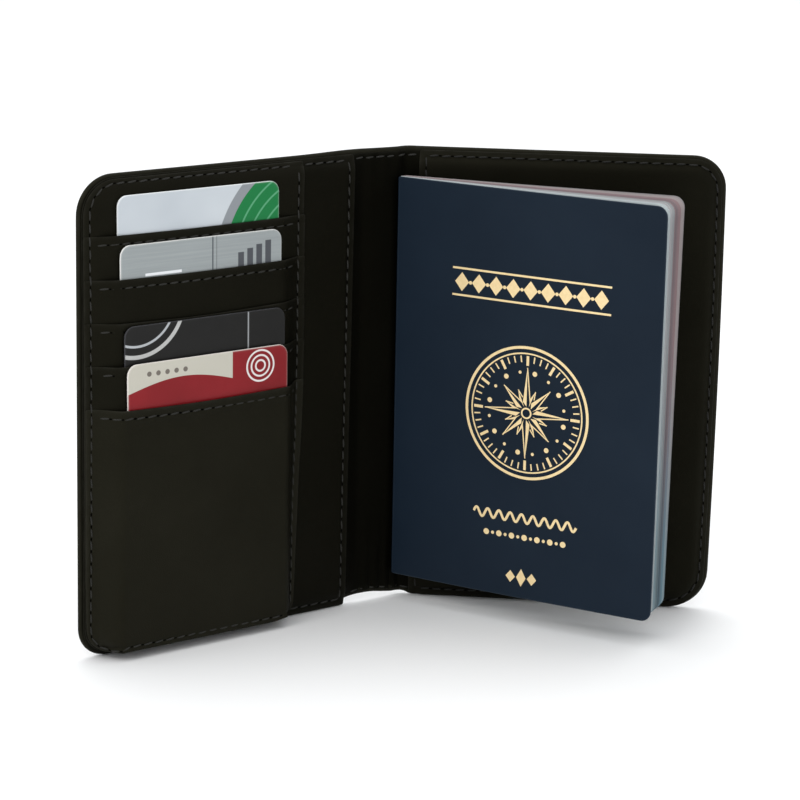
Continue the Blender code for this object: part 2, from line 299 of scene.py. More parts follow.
def pod(c, t, s, n, length, width, height, arch, rings=7, sides=8):
    """A small rounded bead along t: one stitch, or one flat dark disc of painted shade at a needle hole."""
    verts, faces = [], []
    a = np.sin(np.linspace(-1, 1, rings) * math.pi / 2) * 0.985
    k = np.sqrt(np.maximum(1 - np.abs(a) ** 3.2, 0.0))
    ang = np.linspace(0, 2 * math.pi, sides, endpoint=False)
    for ai, ki in zip(a, k):
        mid = c + t * (ai * length / 2) + n * (arch * (1 - ai * ai))
        for g in ang:
            verts.append(mid + s * (math.cos(g) * width / 2 * ki) + n * (math.sin(g) * height / 2 * ki))
    for i in range(rings - 1):
        for j in range(sides):
            p, q = i * sides + j, i * sides + (j + 1) % sides
            faces.append((p, q, q + sides, p + sides))
    faces.append(tuple(range(sides))[::-1])
    faces.append(tuple(range((rings - 1) * sides, rings * sides)))
    return verts, faces


def sew(shape, points, outward, pitch=3.7, length=2.75, width=0.56, height=0.36, start=0.5, slant=5.0, lift=0.05,
        hole_shade_mat=1, bulge=0.10):
    """Lay stitches along a line of points (metres) whose surface faces outward."""
    p, o = np.asarray(points) * 1000.0, np.asarray(outward)
    seg = np.linalg.norm(np.diff(p, axis=0), axis=1)
    s = np.concatenate([[0], np.cumsum(seg)])
    total = s[-1]
    count = int((total - 2 * start + (pitch - length)) // pitch)
    if count < 1:
        return
    first = (total - count * pitch + (pitch - length)) / 2

    def at(v):
        return np.array([np.interp(v, s, p[:, i]) for i in range(3)])

    def normal(v):
        n = np.array([np.interp(v, s, o[:, i]) for i in range(3)])
        return n / np.linalg.norm(n)

    for i in range(count):
        a, b = first + i * pitch, first + i * pitch + length
        pa, pb, n = at(a), at(b), normal((a + b) / 2)
        t = pb - pa
        size = np.linalg.norm(t)
        t = t / size
        n = n - t * np.dot(n, t)
        n /= np.linalg.norm(n)
        side = np.cross(n, t)
        sl = math.radians(slant + 2.0 * math.sin(i * 12.9898 + total))
        t2 = t * math.cos(sl) + side * math.sin(sl)
        side2 = np.cross(n, t2)
        jitter = 0.04 * math.sin(i * 78.233 + total)
        mid = (pa + pb) / 2 + n * (lift - 0.02) + side * jitter
        v, f = pod(mid, t2, side2, n, size * (0.98 + 0.04 * math.sin(i * 3.7)), width, height, bulge)
        shape.add(np.array(v) * MM, f, 0)
        # between stitches, a flat dark disc: painted shade where the needle hole is
        if i < count - 1:
            g = at(b + (pitch - length) / 2)
            v, f = pod(g + n * 0.015, t, side, n, 0.95, 0.52, 0.09, 0.0, rings=5, sides=8)
            shape.add(np.array(v) * MM, f, hole_shade_mat)


# ---------------------------------------------------------------- materials
def nodes_of(name):
    mat = bpy.data.materials.new(name)
    mat.use_nodes = True
    tree = mat.node_tree
    return mat, tree, tree.nodes["Principled BSDF"]


def add(tree, kind, **values):
    node = tree.nodes.new(kind)
    for k, v in values.items():
        if hasattr(node, k) and not k[0].isupper():
            setattr(node, k, v)
        else:
            node.inputs[k.replace("_", " ")].default_value = v
    return node


def math_node(tree, op, a, b=None, c=None, clamp=False):
    node = tree.nodes.new("ShaderNodeMath")
    node.operation = op
    node.use_clamp = clamp
    for i, v in enumerate((a, b, c)):
        if v is None:
            continue
        if isinstance(v, (int, float)):
            node.inputs[i].default_value = v
        else:
            tree.links.new(v, node.inputs[i])
    return node.outputs[0]


def mix_colour(tree, factor, a, b, blend="MIX"):
    node = tree.nodes.new("ShaderNodeMix")
    node.data_type = "RGBA"
    node.blend_type = blend
    for slot, v in ((node.inputs[0], factor), (node.inputs[6], a), (node.inputs[7], b)):
        if isinstance(v, (int, float)):
            slot.default_value = v
        elif isinstance(v, tuple):
            slot.default_value = (*v[:3], 1.0)
        else:
            tree.links.new(v, slot)
    return node.outputs[2]


def coords(tree, uv=True, scale=1.0):
    if uv:
        src = tree.nodes.new("ShaderNodeUVMap")
        src.uv_map = "flat"
        out = src.outputs[0]
    else:
        out = tree.nodes.new("ShaderNodeTexCoord").outputs["Object"]
    m = tree.nodes.new("ShaderNodeMapping")
    m.inputs["Scale"].default_value = (scale, scale, scale)
    tree.links.new(out, m.inputs[0])
    return m.outputs[0]


def noise(tree, vec, scale, detail=3.0, rough=0.5):
    node = tree.nodes.new("ShaderNodeTexNoise")
    node.inputs["Scale"].default_value = scale
    node.inputs["Detail"].default_value = detail
    node.inputs["Roughness"].default_value = rough
    tree.links.new(vec, node.inputs["Vector"])
    return node.outputs["Fac"]


def ramp(tree, value, lo, hi, a=0.0, b=1.0):
    node = tree.nodes.new("ShaderNodeMapRange")
    node.inputs[1].default_value = lo
    node.inputs[2].default_value = hi
    node.inputs[3].default_value = a
    node.inputs[4].default_value = b
    tree.links.new(value, node.inputs[0])
    return node.outputs[0]


def leather(name, dark, light, worn_and_sheen, rough=(0.535, 0.575), grain=1.0, bump=0.22, spec=0.32, uv=True):
    mat, tree, bsdf = nodes_of(name)
    per_mm = 100.0 if uv else 1000.0
    vec = coords(tree, uv)
    # pebbled grain, about 0.6 mm, warped a little so that it isn't a lattice
    warp = tree.nodes.new("ShaderNodeTexNoise")
    warp.inputs["Scale"].default_value = per_mm * 0.9
    tree.links.new(vec, warp.inputs["Vector"])
    moved = tree.nodes.new("ShaderNodeVectorMath")
    moved.operation = "MULTIPLY_ADD"
    tree.links.new(warp.outputs["Color"], moved.inputs[0])
    moved.inputs[1].default_value = (0.35 / per_mm,) * 3
    tree.links.new(vec, moved.inputs[2])
    cells = tree.nodes.new("ShaderNodeTexVoronoi")
    cells.feature = "DISTANCE_TO_EDGE"
    cells.inputs["Scale"].default_value = per_mm * 1.7 / grain
    tree.links.new(moved.outputs[0], cells.inputs["Vector"])
    creases = ramp(tree, cells.outputs["Distance"], 0.0, 0.16)
    pores = noise(tree, vec, per_mm * 3.2, 2.0)
    fibres = noise(tree, vec, per_mm * 0.42, 4.0, 0.6)
    height = math_node(tree, "MULTIPLY_ADD", creases, 0.75, math_node(tree, "MULTIPLY", pores, 0.35))
    height = math_node(tree, "MULTIPLY_ADD", fibres, 0.4, height)
    b = tree.nodes.new("ShaderNodeBump")
    b.inputs["Strength"].default_value = bump
    b.inputs["Distance"].default_value = 0.00012
    tree.links.new(height, b.inputs["Height"])
    tree.links.new(b.outputs[0], bsdf.inputs["Normal"])
    # colour: cloudy, with painted shade in the grain's creases, and lighter along the edges for wear together with a
    # painted highlight on the rim
    cloud = noise(tree, vec, per_mm * 0.035, 4.0, 0.6)
    colour = mix_colour(tree, ramp(tree, cloud, 0.32, 0.68), dark, light)
    # painted shade: the colour darkens in the grain's creases
    shade = ramp(tree, creases, 0.0, 1.0, 0.78, 1.04)
    dim = tree.nodes.new("ShaderNodeVectorMath")
    dim.operation = "SCALE"
    tree.links.new(colour, dim.inputs[0])
    tree.links.new(shade, dim.inputs["Scale"])
    # the rims lighten towards the third colour: wear together with a painted highlight on the rounded edge
    wear = tree.nodes.new("ShaderNodeAttribute")
    wear.attribute_name = "wear"
    rub_and_sheen = math_node(tree, "MULTIPLY", wear.outputs["Fac"], ramp(tree, noise(tree, vec, per_mm * 0.22, 3.0), 0.35, 0.7, 0.35, 1.0), clamp=True)
    colour = mix_colour(tree, rub_and_sheen, dim.outputs[0], worn_and_sheen)
    tree.links.new(colour, bsdf.inputs["Base Color"])
    r = ramp(tree, noise(tree, vec, per_mm * 0.11, 3.0), 0.3, 0.7, rough[0], rough[1])
    r = math_node(tree, "MULTIPLY_ADD", rub_and_sheen, -0.08, r)
    tree.links.new(r, bsdf.inputs["Roughness"])
    bsdf.inputs["Specular IOR Level"].default_value = spec
    bsdf.inputs["Specular Tint"].default_value = (1.0, 0.96, 0.66, 1.0)
    return mat


def plain(name, colour, colour2, rough, spec=0.4, metallic=0.0, scale=400.0, bump=0.1, distance=0.00005, uv=False):
    mat, tree, bsdf = nodes_of(name)
    vec = coords(tree, uv)
    f = noise(tree, vec, scale, 4.0, 0.6)
    tree.links.new(mix_colour(tree, ramp(tree, f, 0.35, 0.65), colour, colour2), bsdf.inputs["Base Color"])
    tree.links.new(ramp(tree, noise(tree, vec, scale * 0.3, 3.0), 0.3, 0.7, rough - 0.05, rough + 0.06), bsdf.inputs["Roughness"])
    b = tree.nodes.new("ShaderNodeBump")
    b.inputs["Strength"].default_value = bump
    b.inputs["Distance"].default_value = distance
    tree.links.new(noise(tree, vec, scale * 4.0, 2.0), b.inputs["Height"])
    tree.links.new(b.outputs[0], bsdf.inputs["Normal"])
    bsdf.inputs["Specular IOR Level"].default_value = spec
    bsdf.inputs["Metallic"].default_value = metallic
    return mat


def thread_material(name="thread", share=1.0):
    mat, tree, bsdf = nodes_of(name)
    vec = coords(tree, False)
    ply = tree.nodes.new("ShaderNodeTexWave")
    ply.wave_type = "BANDS"
    ply.bands_direction = "DIAGONAL"
    ply.inputs["Scale"].default_value = 900.0
    ply.inputs["Distortion"].default_value = 1.5
    tree.links.new(vec, ply.inputs["Vector"])
    # a share below 1 darkens both thread colours: painted shade
    colour = mix_colour(tree, ply.outputs["Fac"], (0.0085 * share, 0.0083 * share, 0.0066 * share),
                        (0.0240 * share, 0.0236 * share, 0.0200 * share))
    tree.links.new(colour, bsdf.inputs["Base Color"])
    b = tree.nodes.new("ShaderNodeBump")
    b.inputs["Strength"].default_value = 0.5
    b.inputs["Distance"].default_value = 0.00006
    tree.links.new(ply.outputs["Fac"], b.inputs["Height"])
    tree.links.new(b.outputs[0], bsdf.inputs["Normal"])
    bsdf.inputs["Roughness"].default_value = 0.62
    bsdf.inputs["Specular IOR Level"].default_value = 0.22
    bsdf.inputs["Sheen Weight"].default_value = 0.03
    return mat


# third colour of each leather: its rims, worn and with a painted highlight
OUTER = leather("cover_leather", (0.0030, 0.0027, 0.0014), (0.0050, 0.0046, 0.0028), (0.0120, 0.0116, 0.0090), spec=0.13)
POCKET = leather("pocket_leather", (0.0030, 0.0027, 0.0014), (0.0052, 0.0048, 0.0029), (0.0140, 0.0136, 0.0108), bump=0.20, spec=0.13)
# painted shade: the pocket leather again, darker and less glossy, for the backing and the pockets behind the front one
POCKET_PAINTED_SHADE = leather("pocket_leather_shaded", (0.0020, 0.0018, 0.0010), (0.0036, 0.0033, 0.0020), (0.0135, 0.0130, 0.0104), bump=0.20, spec=0.088)
# painted shade: the same leather, darker and less glossy, for the passport sleeve on the right panel
SLEEVE_PAINTED_SHADE = leather("sleeve_leather", (0.0020, 0.0018, 0.0010), (0.0036, 0.0033, 0.0020), (0.0120, 0.0116, 0.0092), bump=0.20, spec=0.085)
# painted shade: the same leather, darker still and less glossy, for the slip sleeve
SLIP_PAINTED_SHADE = leather("slip_leather", (0.0016, 0.0015, 0.0008), (0.0028, 0.0025, 0.0015), (0.0120, 0.0116, 0.0090), bump=0.20, spec=0.072)
# painted shade: the same leather, darkest, for the lining seen between the panels at the spine
LINING_PAINTED_SHADE = leather("lining", (0.0008, 0.0007, 0.0004), (0.0014, 0.0013, 0.0008), (0.0070, 0.0068, 0.0052), grain=0.8, bump=0.16, spec=0.045)
THREAD = thread_material()
# painted shade: the same thread, darker, for the stitches on the right panel
THREAD_RIGHT_PAINTED_SHADE = thread_material("thread_right", 0.55)
# painted shade: near-black for the discs at the needle holes
HOLE_PAINTED_SHADE = plain("needle_hole_painted_shade", (0.0004, 0.0004, 0.0003), (0.0008, 0.0008, 0.0006), 0.9, spec=0.02)
BOARD = plain("board", (0.30, 0.27, 0.22), (0.36, 0.32, 0.26), 0.85, spec=0.2, scale=260.0, bump=0.3)


# ---------------------------------------------------------------- outer cover and lining
def spine_share(x):
    return smooth((x + 3.0) / 5.0) * (1 - smooth((x - SPINE + 2.0) / 5.0))


ARCH_X = np.array([-4.1, -3.7, -3.2, -2.7, -0.8, 2.0, 5.0, 8.0, 11.3, 15.0, 18.6, 20.0, 21.2, 22.2])
ARCH_Z = np.array([0.0, 0.3, 1.6, 1.95, 2.25, 2.5, 2.55, 2.4, 1.85, 1.3, 1.05, 0.75, 0.2, 0.0])


def arch(x):
    """How far the spine's lower edge is drawn up between the two panels."""
    return sum(np.interp(x + k, ARCH_X, ARCH_Z) for k in (-0.3, 0.0, 0.3)) / 3


def draw_up(x, z):
    lift = 0.32 * np.exp(-((x + 3.0) / 11.0) ** 2) * np.clip((z - 100.0) / 42.0, 0, 1) ** 2
    return arch(x) * np.clip(1 - z / 26.0, 0, 1) ** 2 + lift


def pinch_cover(x, z):
    """0 at the sewn rim, 1 inside it."""
    d = inside(x, z, (-PANEL, SPINE + PANEL, 0.0, HEIGHT), (R_BL, R_BR, R_TR, R_TL))
    return smooth((d - 0.9) / 4.6)


def pinch_left(u, z):
    return smooth((inside(u, z, (-500.0, PANEL, 0.0, HEIGHT), (0, R_BL, R_TL, 0)) - 0.9) / 4.6)


def pinch_right(u, z):
    return smooth((inside(u, z, (-500.0, PANEL, 0.0, HEIGHT), (0, R_BR, R_TR, 0)) - 0.9) / 4.6)


def cover_back(x, z, d):
    relief = 0.10 * wave(x, z) * smooth(d / 9.0)
    groove = -0.14 * np.exp(-((d - STITCH_IN) / 0.42) ** 2)
    crease = 0.12 * np.exp(-((x - 0.0) / 1.5) ** 2) + 0.10 * np.exp(-((x - SPINE) / 1.5) ** 2)
    return -0.62 - 0.16 * smooth((d - 3.2) / 2.6) + relief - groove + crease * smooth(d / 4.0)


def cover_front(x, z, d):
    flap = 0.82 + (0.44 - 0.50 * spine_share(x)) * smooth((d - 0.9) / 4.6)
    return 0.38 + (flap - 0.38) * (1 - smooth((d - 6.0) / 1.2))


def lining_front(x, z, d):
    n = 1.10 + 0.60 * (1 - spine_share(x)) * pinch_cover(x, z)
    window = smooth((x - 0.5) / 2.0) * (1 - smooth((x - 16.5) / 2.5))
    folds = np.cos(2 * math.pi * (x - 1.2) / 3.7 + 0.35 * np.sin(z * 0.21))
    n = n + 0.34 * window * folds * np.exp(-np.maximum(z - 1.0, 0) / 7.5)
    n = n + 0.14 * window * np.cos(2 * math.pi * x / 5.1 + 0.8) * np.exp(-np.maximum(141 - z, 0) / 6.0)
    n = n + 0.10 * wave(x * 1.3, z, 2.0) * smooth(d / 6.0) * spine_share(x)
    on_spine = spine_share(x)
    n = n - 0.12 * on_spine * np.exp(-((HEIGHT - z - STITCH_IN) / 0.42) ** 2)
    n = n - 0.12 * on_spine * np.exp(-((z - SPINE_LINE) / 0.42) ** 2)
    return n


def lining_back(x, z, d):
    return lining_front(x, z, d) - 0.22 - 0.18 * pinch_cover(x, z) * (1 - 0.6 * spine_share(x))


rows = ladder(0.0, HEIGHT, 2.4)
cols_a = np.unique(np.round(np.concatenate([-PANEL + DENSE, between(-PANEL + 14.5, -8.0, 2.4), between(-7.0, -4.4, 0.65), between(-4.15, -2.2, 0.24), between(-1.7, 7.5, 0.65), between(8.5, CUT, 0.9)]), 5))
cols_b = np.unique(np.round(np.concatenate([between(CUT, 24.5, 0.6), between(26.0, 19.0 + PANEL - 14.5, 2.4), 19.0 + PANEL - DENSE]), 5))
box_a = (-PANEL, CUT, 0.0, HEIGHT)
box_b = (CUT, SPINE + PANEL, 0.0, HEIGHT)

START_L = tuple(on_cover(np.array(BEND_L[0]), np.array(0.0), np.array(71.0)))
END_L = tuple(on_cover(np.array(BEND_L[1]), np.array(0.0), np.array(71.0)))
START_R = tuple(on_cover(np.array(BEND_R[0] + 0.15), np.array(0.0), np.array(71.0)))
END_R = tuple(on_cover(np.array(BEND_R[1]), np.array(0.0), np.array(71.0)))


def bends_left(obj):
    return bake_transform(obj)


def bends_right(obj):
    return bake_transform(obj)


cover_a = leaf("outer_cover_left_and_spine", on_cover, rows, cols_a, box_a, (R_BL, 0, 0, R_TL), cover_front, cover_back,
               [OUTER], re=0.95, cut=(False, True), z_move=draw_up, wear_depth=0.8)
cover_b = leaf("outer_cover_right_piece", on_cover, rows, cols_b, box_b, (0, R_BR, R_TR, 0), cover_front, cover_back,
               [OUTER], re=0.95, cut=(True, False), z_move=draw_up, wear_depth=0.8)
bends_left(cover_a)
bends_right(cover_b)
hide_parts("outer_cover_left", "outer_cover_spine")
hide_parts("outer_cover_right")

IN = 1.25
rows_l = ladder(IN, HEIGHT - IN, 2.4)
cols_la = np.unique(np.round(np.concatenate([-PANEL + 1.8 + SPARSE, between(-PANEL + 9.0, -8.0, 4.0), between(-7.0, -4.4, 0.65), between(-4.15, -2.2, 0.24), between(-1.7, 7.5, 0.65), between(8.2, CUT, 0.6)]), 5))
cols_lb = np.unique(np.round(np.concatenate([between(CUT, 24.5, 0.6), between(26.0, 19.0 + PANEL - 9.0, 4.0), 19.0 + PANEL - 1.8 - SPARSE]), 5))
lining_a = leaf("lining_left_and_spine", on_cover, rows_l, cols_la, (-PANEL + 1.8, CUT, IN, HEIGHT - IN),
                (R_BL - 1.8, 0, 0, R_TL - 1.8), lining_front, lining_back, [LINING_PAINTED_SHADE], re=0.22, cut=(False, True), z_move=draw_up)
lining_b = leaf("lining_right_piece", on_cover, rows_l, cols_lb, (CUT, SPINE + PANEL - 1.8, IN, HEIGHT - IN),
                (0, R_BR - 1.8, R_TR - 1.8, 0), lining_front, lining_back, [LINING_PAINTED_SHADE], re=0.22, cut=(True, False), z_move=draw_up)
bends_left(lining_a)
bends_right(lining_b)
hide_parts("lining_left", "lining_spine")
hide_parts("lining_right")

for side, place, body in (("left", on_left, "left_panel"), ("right", on_right, "right_panel")):
    board = leaf("stiffener_board_" + side, place, ladder(7.4, HEIGHT - 7.4, 6.0, SPARSE, SPARSE),
                 ladder(2.8, PANEL - 7.4, 6.0, SPARSE, SPARSE), (2.8, PANEL - 7.4, 7.4, HEIGHT - 7.4), (1, 5, 5, 1),
                 lambda x, z, d: 1.12 + 0 * x, lambda x, z, d: 0.62 + 0 * x, [BOARD], body=body, re=0.1)
    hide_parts("stiffener_" + side)


# ---------------------------------------------------------------- left panel: slip sleeve, backing, pockets
def slip_lo(z):
    return 1.6 * (1 - z / HEIGHT) - 0.7


def slip_front(u, z, d):
    n = 1.52 + (1.06 + 0.10 * wave(u, z, 1.0)) * pinch_left(u, z) - 0.16 * (1 - smooth((d - 0.4) / 3.0))
    return n - 0.16 * np.exp(-((d - 2.1) / 0.40) ** 2)


def slip_back(u, z, d):
    return 1.13 + 0.74 * pinch_left(u, z)


slip_rows = ladder(0.30, HEIGHT - 0.95, 2.4)
slip_cols = np.unique(np.round(np.concatenate([2.4 + DENSE, between(17.0, PANEL - 1.1 - 14.5, 2.6), PANEL - 1.1 - DENSE]), 5))
slip = leaf("slip_sleeve", on_left, slip_rows, slip_cols, (2.4, PANEL - 1.1, 0.30, HEIGHT - 0.95),
            (0.7, R_BL - 1.1, R_TL - 1.1, 0.9), slip_front, slip_back, [SLIP_PAINTED_SHADE], body="left_panel", re=0.34,
            lo_shift=slip_lo, wear_depth=0.7, uv_shift=(7.3, 3.1))
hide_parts("slip_sleeve_left")


def drift(z, heights, shifts):
    z = np.asarray(z, float)
    return sum(np.interp(z + k, heights, shifts) for k in (-12.0, -6.0, 0.0, 6.0, 12.0)) / 5


def edge_shift(z):
    """The inner edge of the stack leans: nearer the fold at the top than at the bottom."""
    return drift(z, (-20, 37, 72, 160), (3.2, 0.9, -0.95, -2.0))


def seam_shift(z):
    """The seam beside that edge leans a little less."""
    return drift(z, (-20, 40, 72, 160), (1.6, 0.6, -0.55, -2.0))


def column_shift(z):
    """The outer row of stitches runs a little nearer the rim at the bottom."""
    return 0.75 * np.clip(1 - np.asarray(z, float) / 110.0, 0, 1)


def side_rise(u, z):
    """0 where the stack is sewn down at its two sides, 1 over the cards."""
    start = SEAM_U + 0.35 + seam_shift(z)
    t = np.clip((u - start) / (29.5 - start), 0, 1)
    return (0.65 * t + 0.35 * smooth(t)) * smooth((91.6 + column_shift(z) - u) / 7.2)


def backing_front(u, z, d):
    n = 1.82 + (1.28 + 0.05 * wave(u, z, 3.0)) * pinch_left(u, z)
    return n - 0.12 * np.exp(-((HEIGHT - STITCH_IN - z) / 0.42) ** 2)


def backing_back(u, z, d):
    return 1.55 + 1.16 * pinch_left(u, z)


backing = leaf("card_backing_sheet", on_left, ladder(1.4, HEIGHT - 1.4, 2.6),
               ladder(22.0, PANEL - 1.35, 2.6), (22.0, PANEL - 1.35, 1.4, HEIGHT - 1.4), (0.5, R_BL - 1.35, R_TL - 1.35, 0.5),
               backing_front, backing_back, [POCKET_PAINTED_SHADE], body="left_panel", re=0.2, wear_depth=0.6, uv_shift=(31.0, 17.0),
               lo_shift=edge_shift)
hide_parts("card_backing")

GAPE = (0.0, 0.0, 0.0, 0.0, 0.35)
SAG = (0.25, 0.35, 0.75, 0.30, 0.55)


def bottom_line(u):
    """The lower row of stitches on the front pocket."""
    return 3.0 + 1.3 * side_rise(u, 3.0)


def pocket_surface(i):
    mouth, foot, full = MOUTHS[i], FEET[i], FRONTS[i]
    sewn = 3.14 + 0.26 * (i + 1)          # where the stack is stitched flat
    rim = 1.84 + 0.25 * (i + 1)           # at the panel's rim

    def sheet(u, z):
        rise = side_rise(u, z)
        pinch = pinch_left(u, z)
        if i == 4:
            # the lower end closes steeply under the front card
            floor_rise = smooth((z - 1.95) / 0.72)
            rise = rise * floor_rise
            sides = pinch_left(u, np.maximum(z, 30.0))
            pinch = np.where(z < 30, np.maximum(pinch, sides * rise), pinch)
        n = rim + (sewn + (full - sewn) * rise - rim) * pinch
        if i == 1:
            n = n - 0.12 * smooth((106.0 - z) / 3.0) * rise
        return n, rise * pinch

    def front(u, z, d):
        n, rise = sheet(u, z)
        below = mouth - z
        n = n + HEMS[i] * (1 - smooth((below - 3.4) / 1.3)) * (0.1 + 0.9 * rise)
        n = n - 0.12 * np.exp(-((below - 2.5) / 0.40) ** 2)
        n = n - 0.14 * np.exp(-((u - SEAM_U - seam_shift(z)) / 0.45) ** 2)
        n = n - 0.14 * np.exp(-((u - COLUMN_U - column_shift(z)) / 0.45) ** 2)
        if i == 4:
            middle = np.sin(math.pi * np.clip((u - 25) / 66, 0, 1)) ** 1.5
            n = n + GAPE[i] * middle * np.exp(-below / 5.0)
        if i == 4:
            belly = np.sin(math.pi * np.clip((u - 26) / 64, 0, 1)) * np.sin(math.pi * np.clip(z / 80, 0, 1))
            n = n + 0.45 * belly + 0.16 * wave(u, z, 5.0) * smooth(d / 8)
            n = n - 0.13 * np.exp(-((z - bottom_line(u)) / 0.42) ** 2) * rise
        else:
            n = n + 0.05 * wave(u * 1.6, z, 7.0 + i) * smooth(d / 4)
        return n

    def back(u, z, d):
        n, rise = sheet(u, z)
        below = mouth - z
        if i == 4:
            middle = np.sin(math.pi * np.clip((u - 25) / 66, 0, 1)) ** 1.5
            n = n + GAPE[i] * middle * np.exp(-below / 5.0)
        return n - 0.22 - (PLATES[i] - 0.22) * rise

    return front, back


pocket_fronts = []
for i in range(5):
    front, back = pocket_surface(i)
    pocket_fronts.append(front)
    low_corner = R_BL - 1.3 if i == 4 else 0.6
    box = (STACK_U0, STACK_U1, FEET[i], MOUTHS[i])
    rws = ladder(box[2], box[3], 3.2 if i < 4 else 2.4, DENSE if i == 4 else SPARSE, DENSE)
    cls = np.unique(np.round(np.concatenate([STACK_U0 + DENSE[:13], STACK_U0 + np.array([3.6, 4.2, 4.9, 5.7, 6.6, 7.6, 8.8, 10.2]),
                                             between(33.5, 80.5, 2.6), between(82.0, 89.6, 0.8), STACK_U1 - DENSE[:14]]), 5))

    def sag(u, z, i=i):
        middle = np.sin(math.pi * np.clip((u - 24) / 69, 0, 1)) ** 1.3
        out = -SAG[i] * middle * np.clip(1 - (MOUTHS[i] - z) / 9.0, 0, 1)
        if i == 4:
            # the foot is drawn up a little towards the seam
            out = out + 0.95 * (1 - smooth((u - 26.0) / 9.0)) * (1 - smooth((z - 2.0) / 10.0))
        return out

    # the front pocket takes the plain pocket leather, the others the copy with painted shade
    pocket = leaf("card_pocket_leather_%d" % (i + 1), on_left, rws, cls, box, (0.5, low_corner, 0.6, 0.6), front, back,
                  [POCKET if i == 4 else POCKET_PAINTED_SHADE], body="left_panel", re=0.26, wear_depth=0.55, uv_shift=(11.0 * i, 29.0 * i), z_move=sag,
                  lo_shift=edge_shift)
    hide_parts("card_pocket_%d" % (i + 1))


def stack_top(u, z):
    """The surface a needle meets first on the left panel's card side."""
    n = backing_front(u, z, np.full_like(u, 9.0))
    for k in range(5):
        f = pocket_fronts[k](u, z, np.full_like(u, 9.0))
        n = np.where(z < MOUTHS[k] - 0.05, f, n)
    return n


# ---------------------------------------------------------------- right panel: passport sleeve
def sleeve_lo(z):
    return 0.9 * (z / HEIGHT) - 0.1


def sleeve_front(u, z, d):
    edge_z = np.minimum(z, HEIGHT - z)
    inner = 1 - smooth((u - 3.0) / 5.0)
    n = 1.62 + (1.40 + 0.12 * wave(u, z, 4.0)) * pinch_right(u, z) - 0.12 * (1 - smooth((d - 0.4) / 3.0))
    n = n - 0.30 * inner * np.exp(-edge_z / 6.0)
    return n - 0.16 * np.exp(-((d - 2.2) / 0.40) ** 2)


def sleeve_back(u, z, d):
    return sleeve_front(u, z, d) - 0.38 - 0.08 * pinch_right(u, z)


sleeve_cols = np.unique(np.round(np.concatenate([2.4 + DENSE, between(17.0, PANEL - 1.1 - 14.5, 2.6), PANEL - 1.1 - DENSE]), 5))
sleeve = leaf("passport_sleeve_leather", on_right, slip_rows, sleeve_cols, (2.4, PANEL - 1.1, 0.30, HEIGHT - 0.95),
              (1.6, R_BR - 1.1, R_TR - 1.1, 0.9), sleeve_front, sleeve_back, [SLEEVE_PAINTED_SHADE], re=0.34,
              lo_shift=sleeve_lo, wear_depth=0.7, uv_shift=(53.0, 41.0))


def follows_booklet(obj):
    """Fixes the object's placement into its mesh."""
    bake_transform(obj)


follows_booklet(sleeve)
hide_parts("passport_sleeve")


# ---------------------------------------------------------------- sewing
def corner(cu, cz, r, a0, a1, steps=10):
    a = np.radians(np.linspace(a0, a1, steps + 1))
    return cu + r * np.cos(a), cz + r * np.sin(a)


def resample(u, z, step=0.7):
    s = np.concatenate([[0], np.cumsum(np.hypot(np.diff(u), np.diff(z)))])
    v = np.linspace(0, s[-1], max(2, int(s[-1] / step)))
    return np.interp(v, s, u), np.interp(v, s, z)


def line_on(shape, place, surface, u, z, sign=1.0, z_move=None, **kw):
    u, z = resample(np.asarray(u, float), np.asarray(z, float))
    n = surface(u, z)
    zz = z if z_move is None else z + z_move(u, z)
    p = place(u, n, zz)
    q = place(u, n + sign, zz)
    out = q - p
    sew(shape, p, out / np.linalg.norm(out, axis=1)[:, None], **kw)


def deep(front):
    return lambda u, z: front(u, z, np.full_like(u, 9.0))


def mid_flat(u, z, d_at, front):
    return front(u, z, np.full_like(u, d_at))


SEWING = [THREAD, HOLE_PAINTED_SHADE]
edge = PANEL - 1.1 - 1.6           # perimeter line on the sleeves

# left panel, inside
s = Shape()
r = R_TL - 3.1
u1, z1 = corner(PANEL - 3.1 - r, HEIGHT - STITCH_IN - r, r, 90, 0)
r = R_BL - 3.1
u2, z2 = corner(PANEL - 3.1 - r, 3.0 + r, r, 0, -90)
ub = np.linspace(u2[-1] - 1.0, SEAM_U + 1.2 + float(seam_shift(0)), 60)
top_start = SEAM_U + 1.2 + float(seam_shift(HEIGHT))
run_u = np.concatenate([[top_start], u1, u2, ub])
run_z = np.concatenate([[HEIGHT - STITCH_IN], z1, z2, bottom_line(ub)])
run_u, run_z = resample(run_u, run_z, 0.5)
run_u = run_u + column_shift(run_z) * smooth((run_u - 82.0) / 8.0)
line_on(s, on_left, stack_top, run_u, run_z)
obj = s.make("perimeter_stitches_left", SEWING)
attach(obj, "left_panel")
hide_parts("perimeter_thread_left")

s = Shape()
seam_z = np.linspace(HEIGHT - 2.6, 3.6, 40)
line_on(s, on_left, stack_top, SEAM_U + seam_shift(seam_z), seam_z)
obj = s.make("pocket_seam_stitches", SEWING)
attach(obj, "left_panel")
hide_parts("pocket_seam_thread")

s = Shape()
slip_at = lambda u, z: slip_front(u, z, np.full_like(u, 2.1))
line_on(s, on_left, slip_at, [2.4 + 2.1 + slip_lo(2.0), 2.4 + 2.1 + slip_lo(HEIGHT - 2.0)], [2.0, HEIGHT - 2.0])
obj = s.make("sleeve_edge_stitches_left", SEWING)
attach(obj, "left_panel")
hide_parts("sleeve_thread_left")

for tag, zline in (("top", HEIGHT - STITCH_IN), ("bottom", STITCH_IN)):
    s = Shape()
    line_on(s, on_left, lambda u, z: slip_front(u, z, np.full_like(u, 1.5)), [5.0, STACK_U0 - 0.2 + float(edge_shift(zline))],
            [zline, zline], start=0.1)
    obj = s.make("slip_sleeve_stitches_" + tag, SEWING)
    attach(obj, "left_panel")
    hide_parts("slip_sleeve_thread_" + tag)

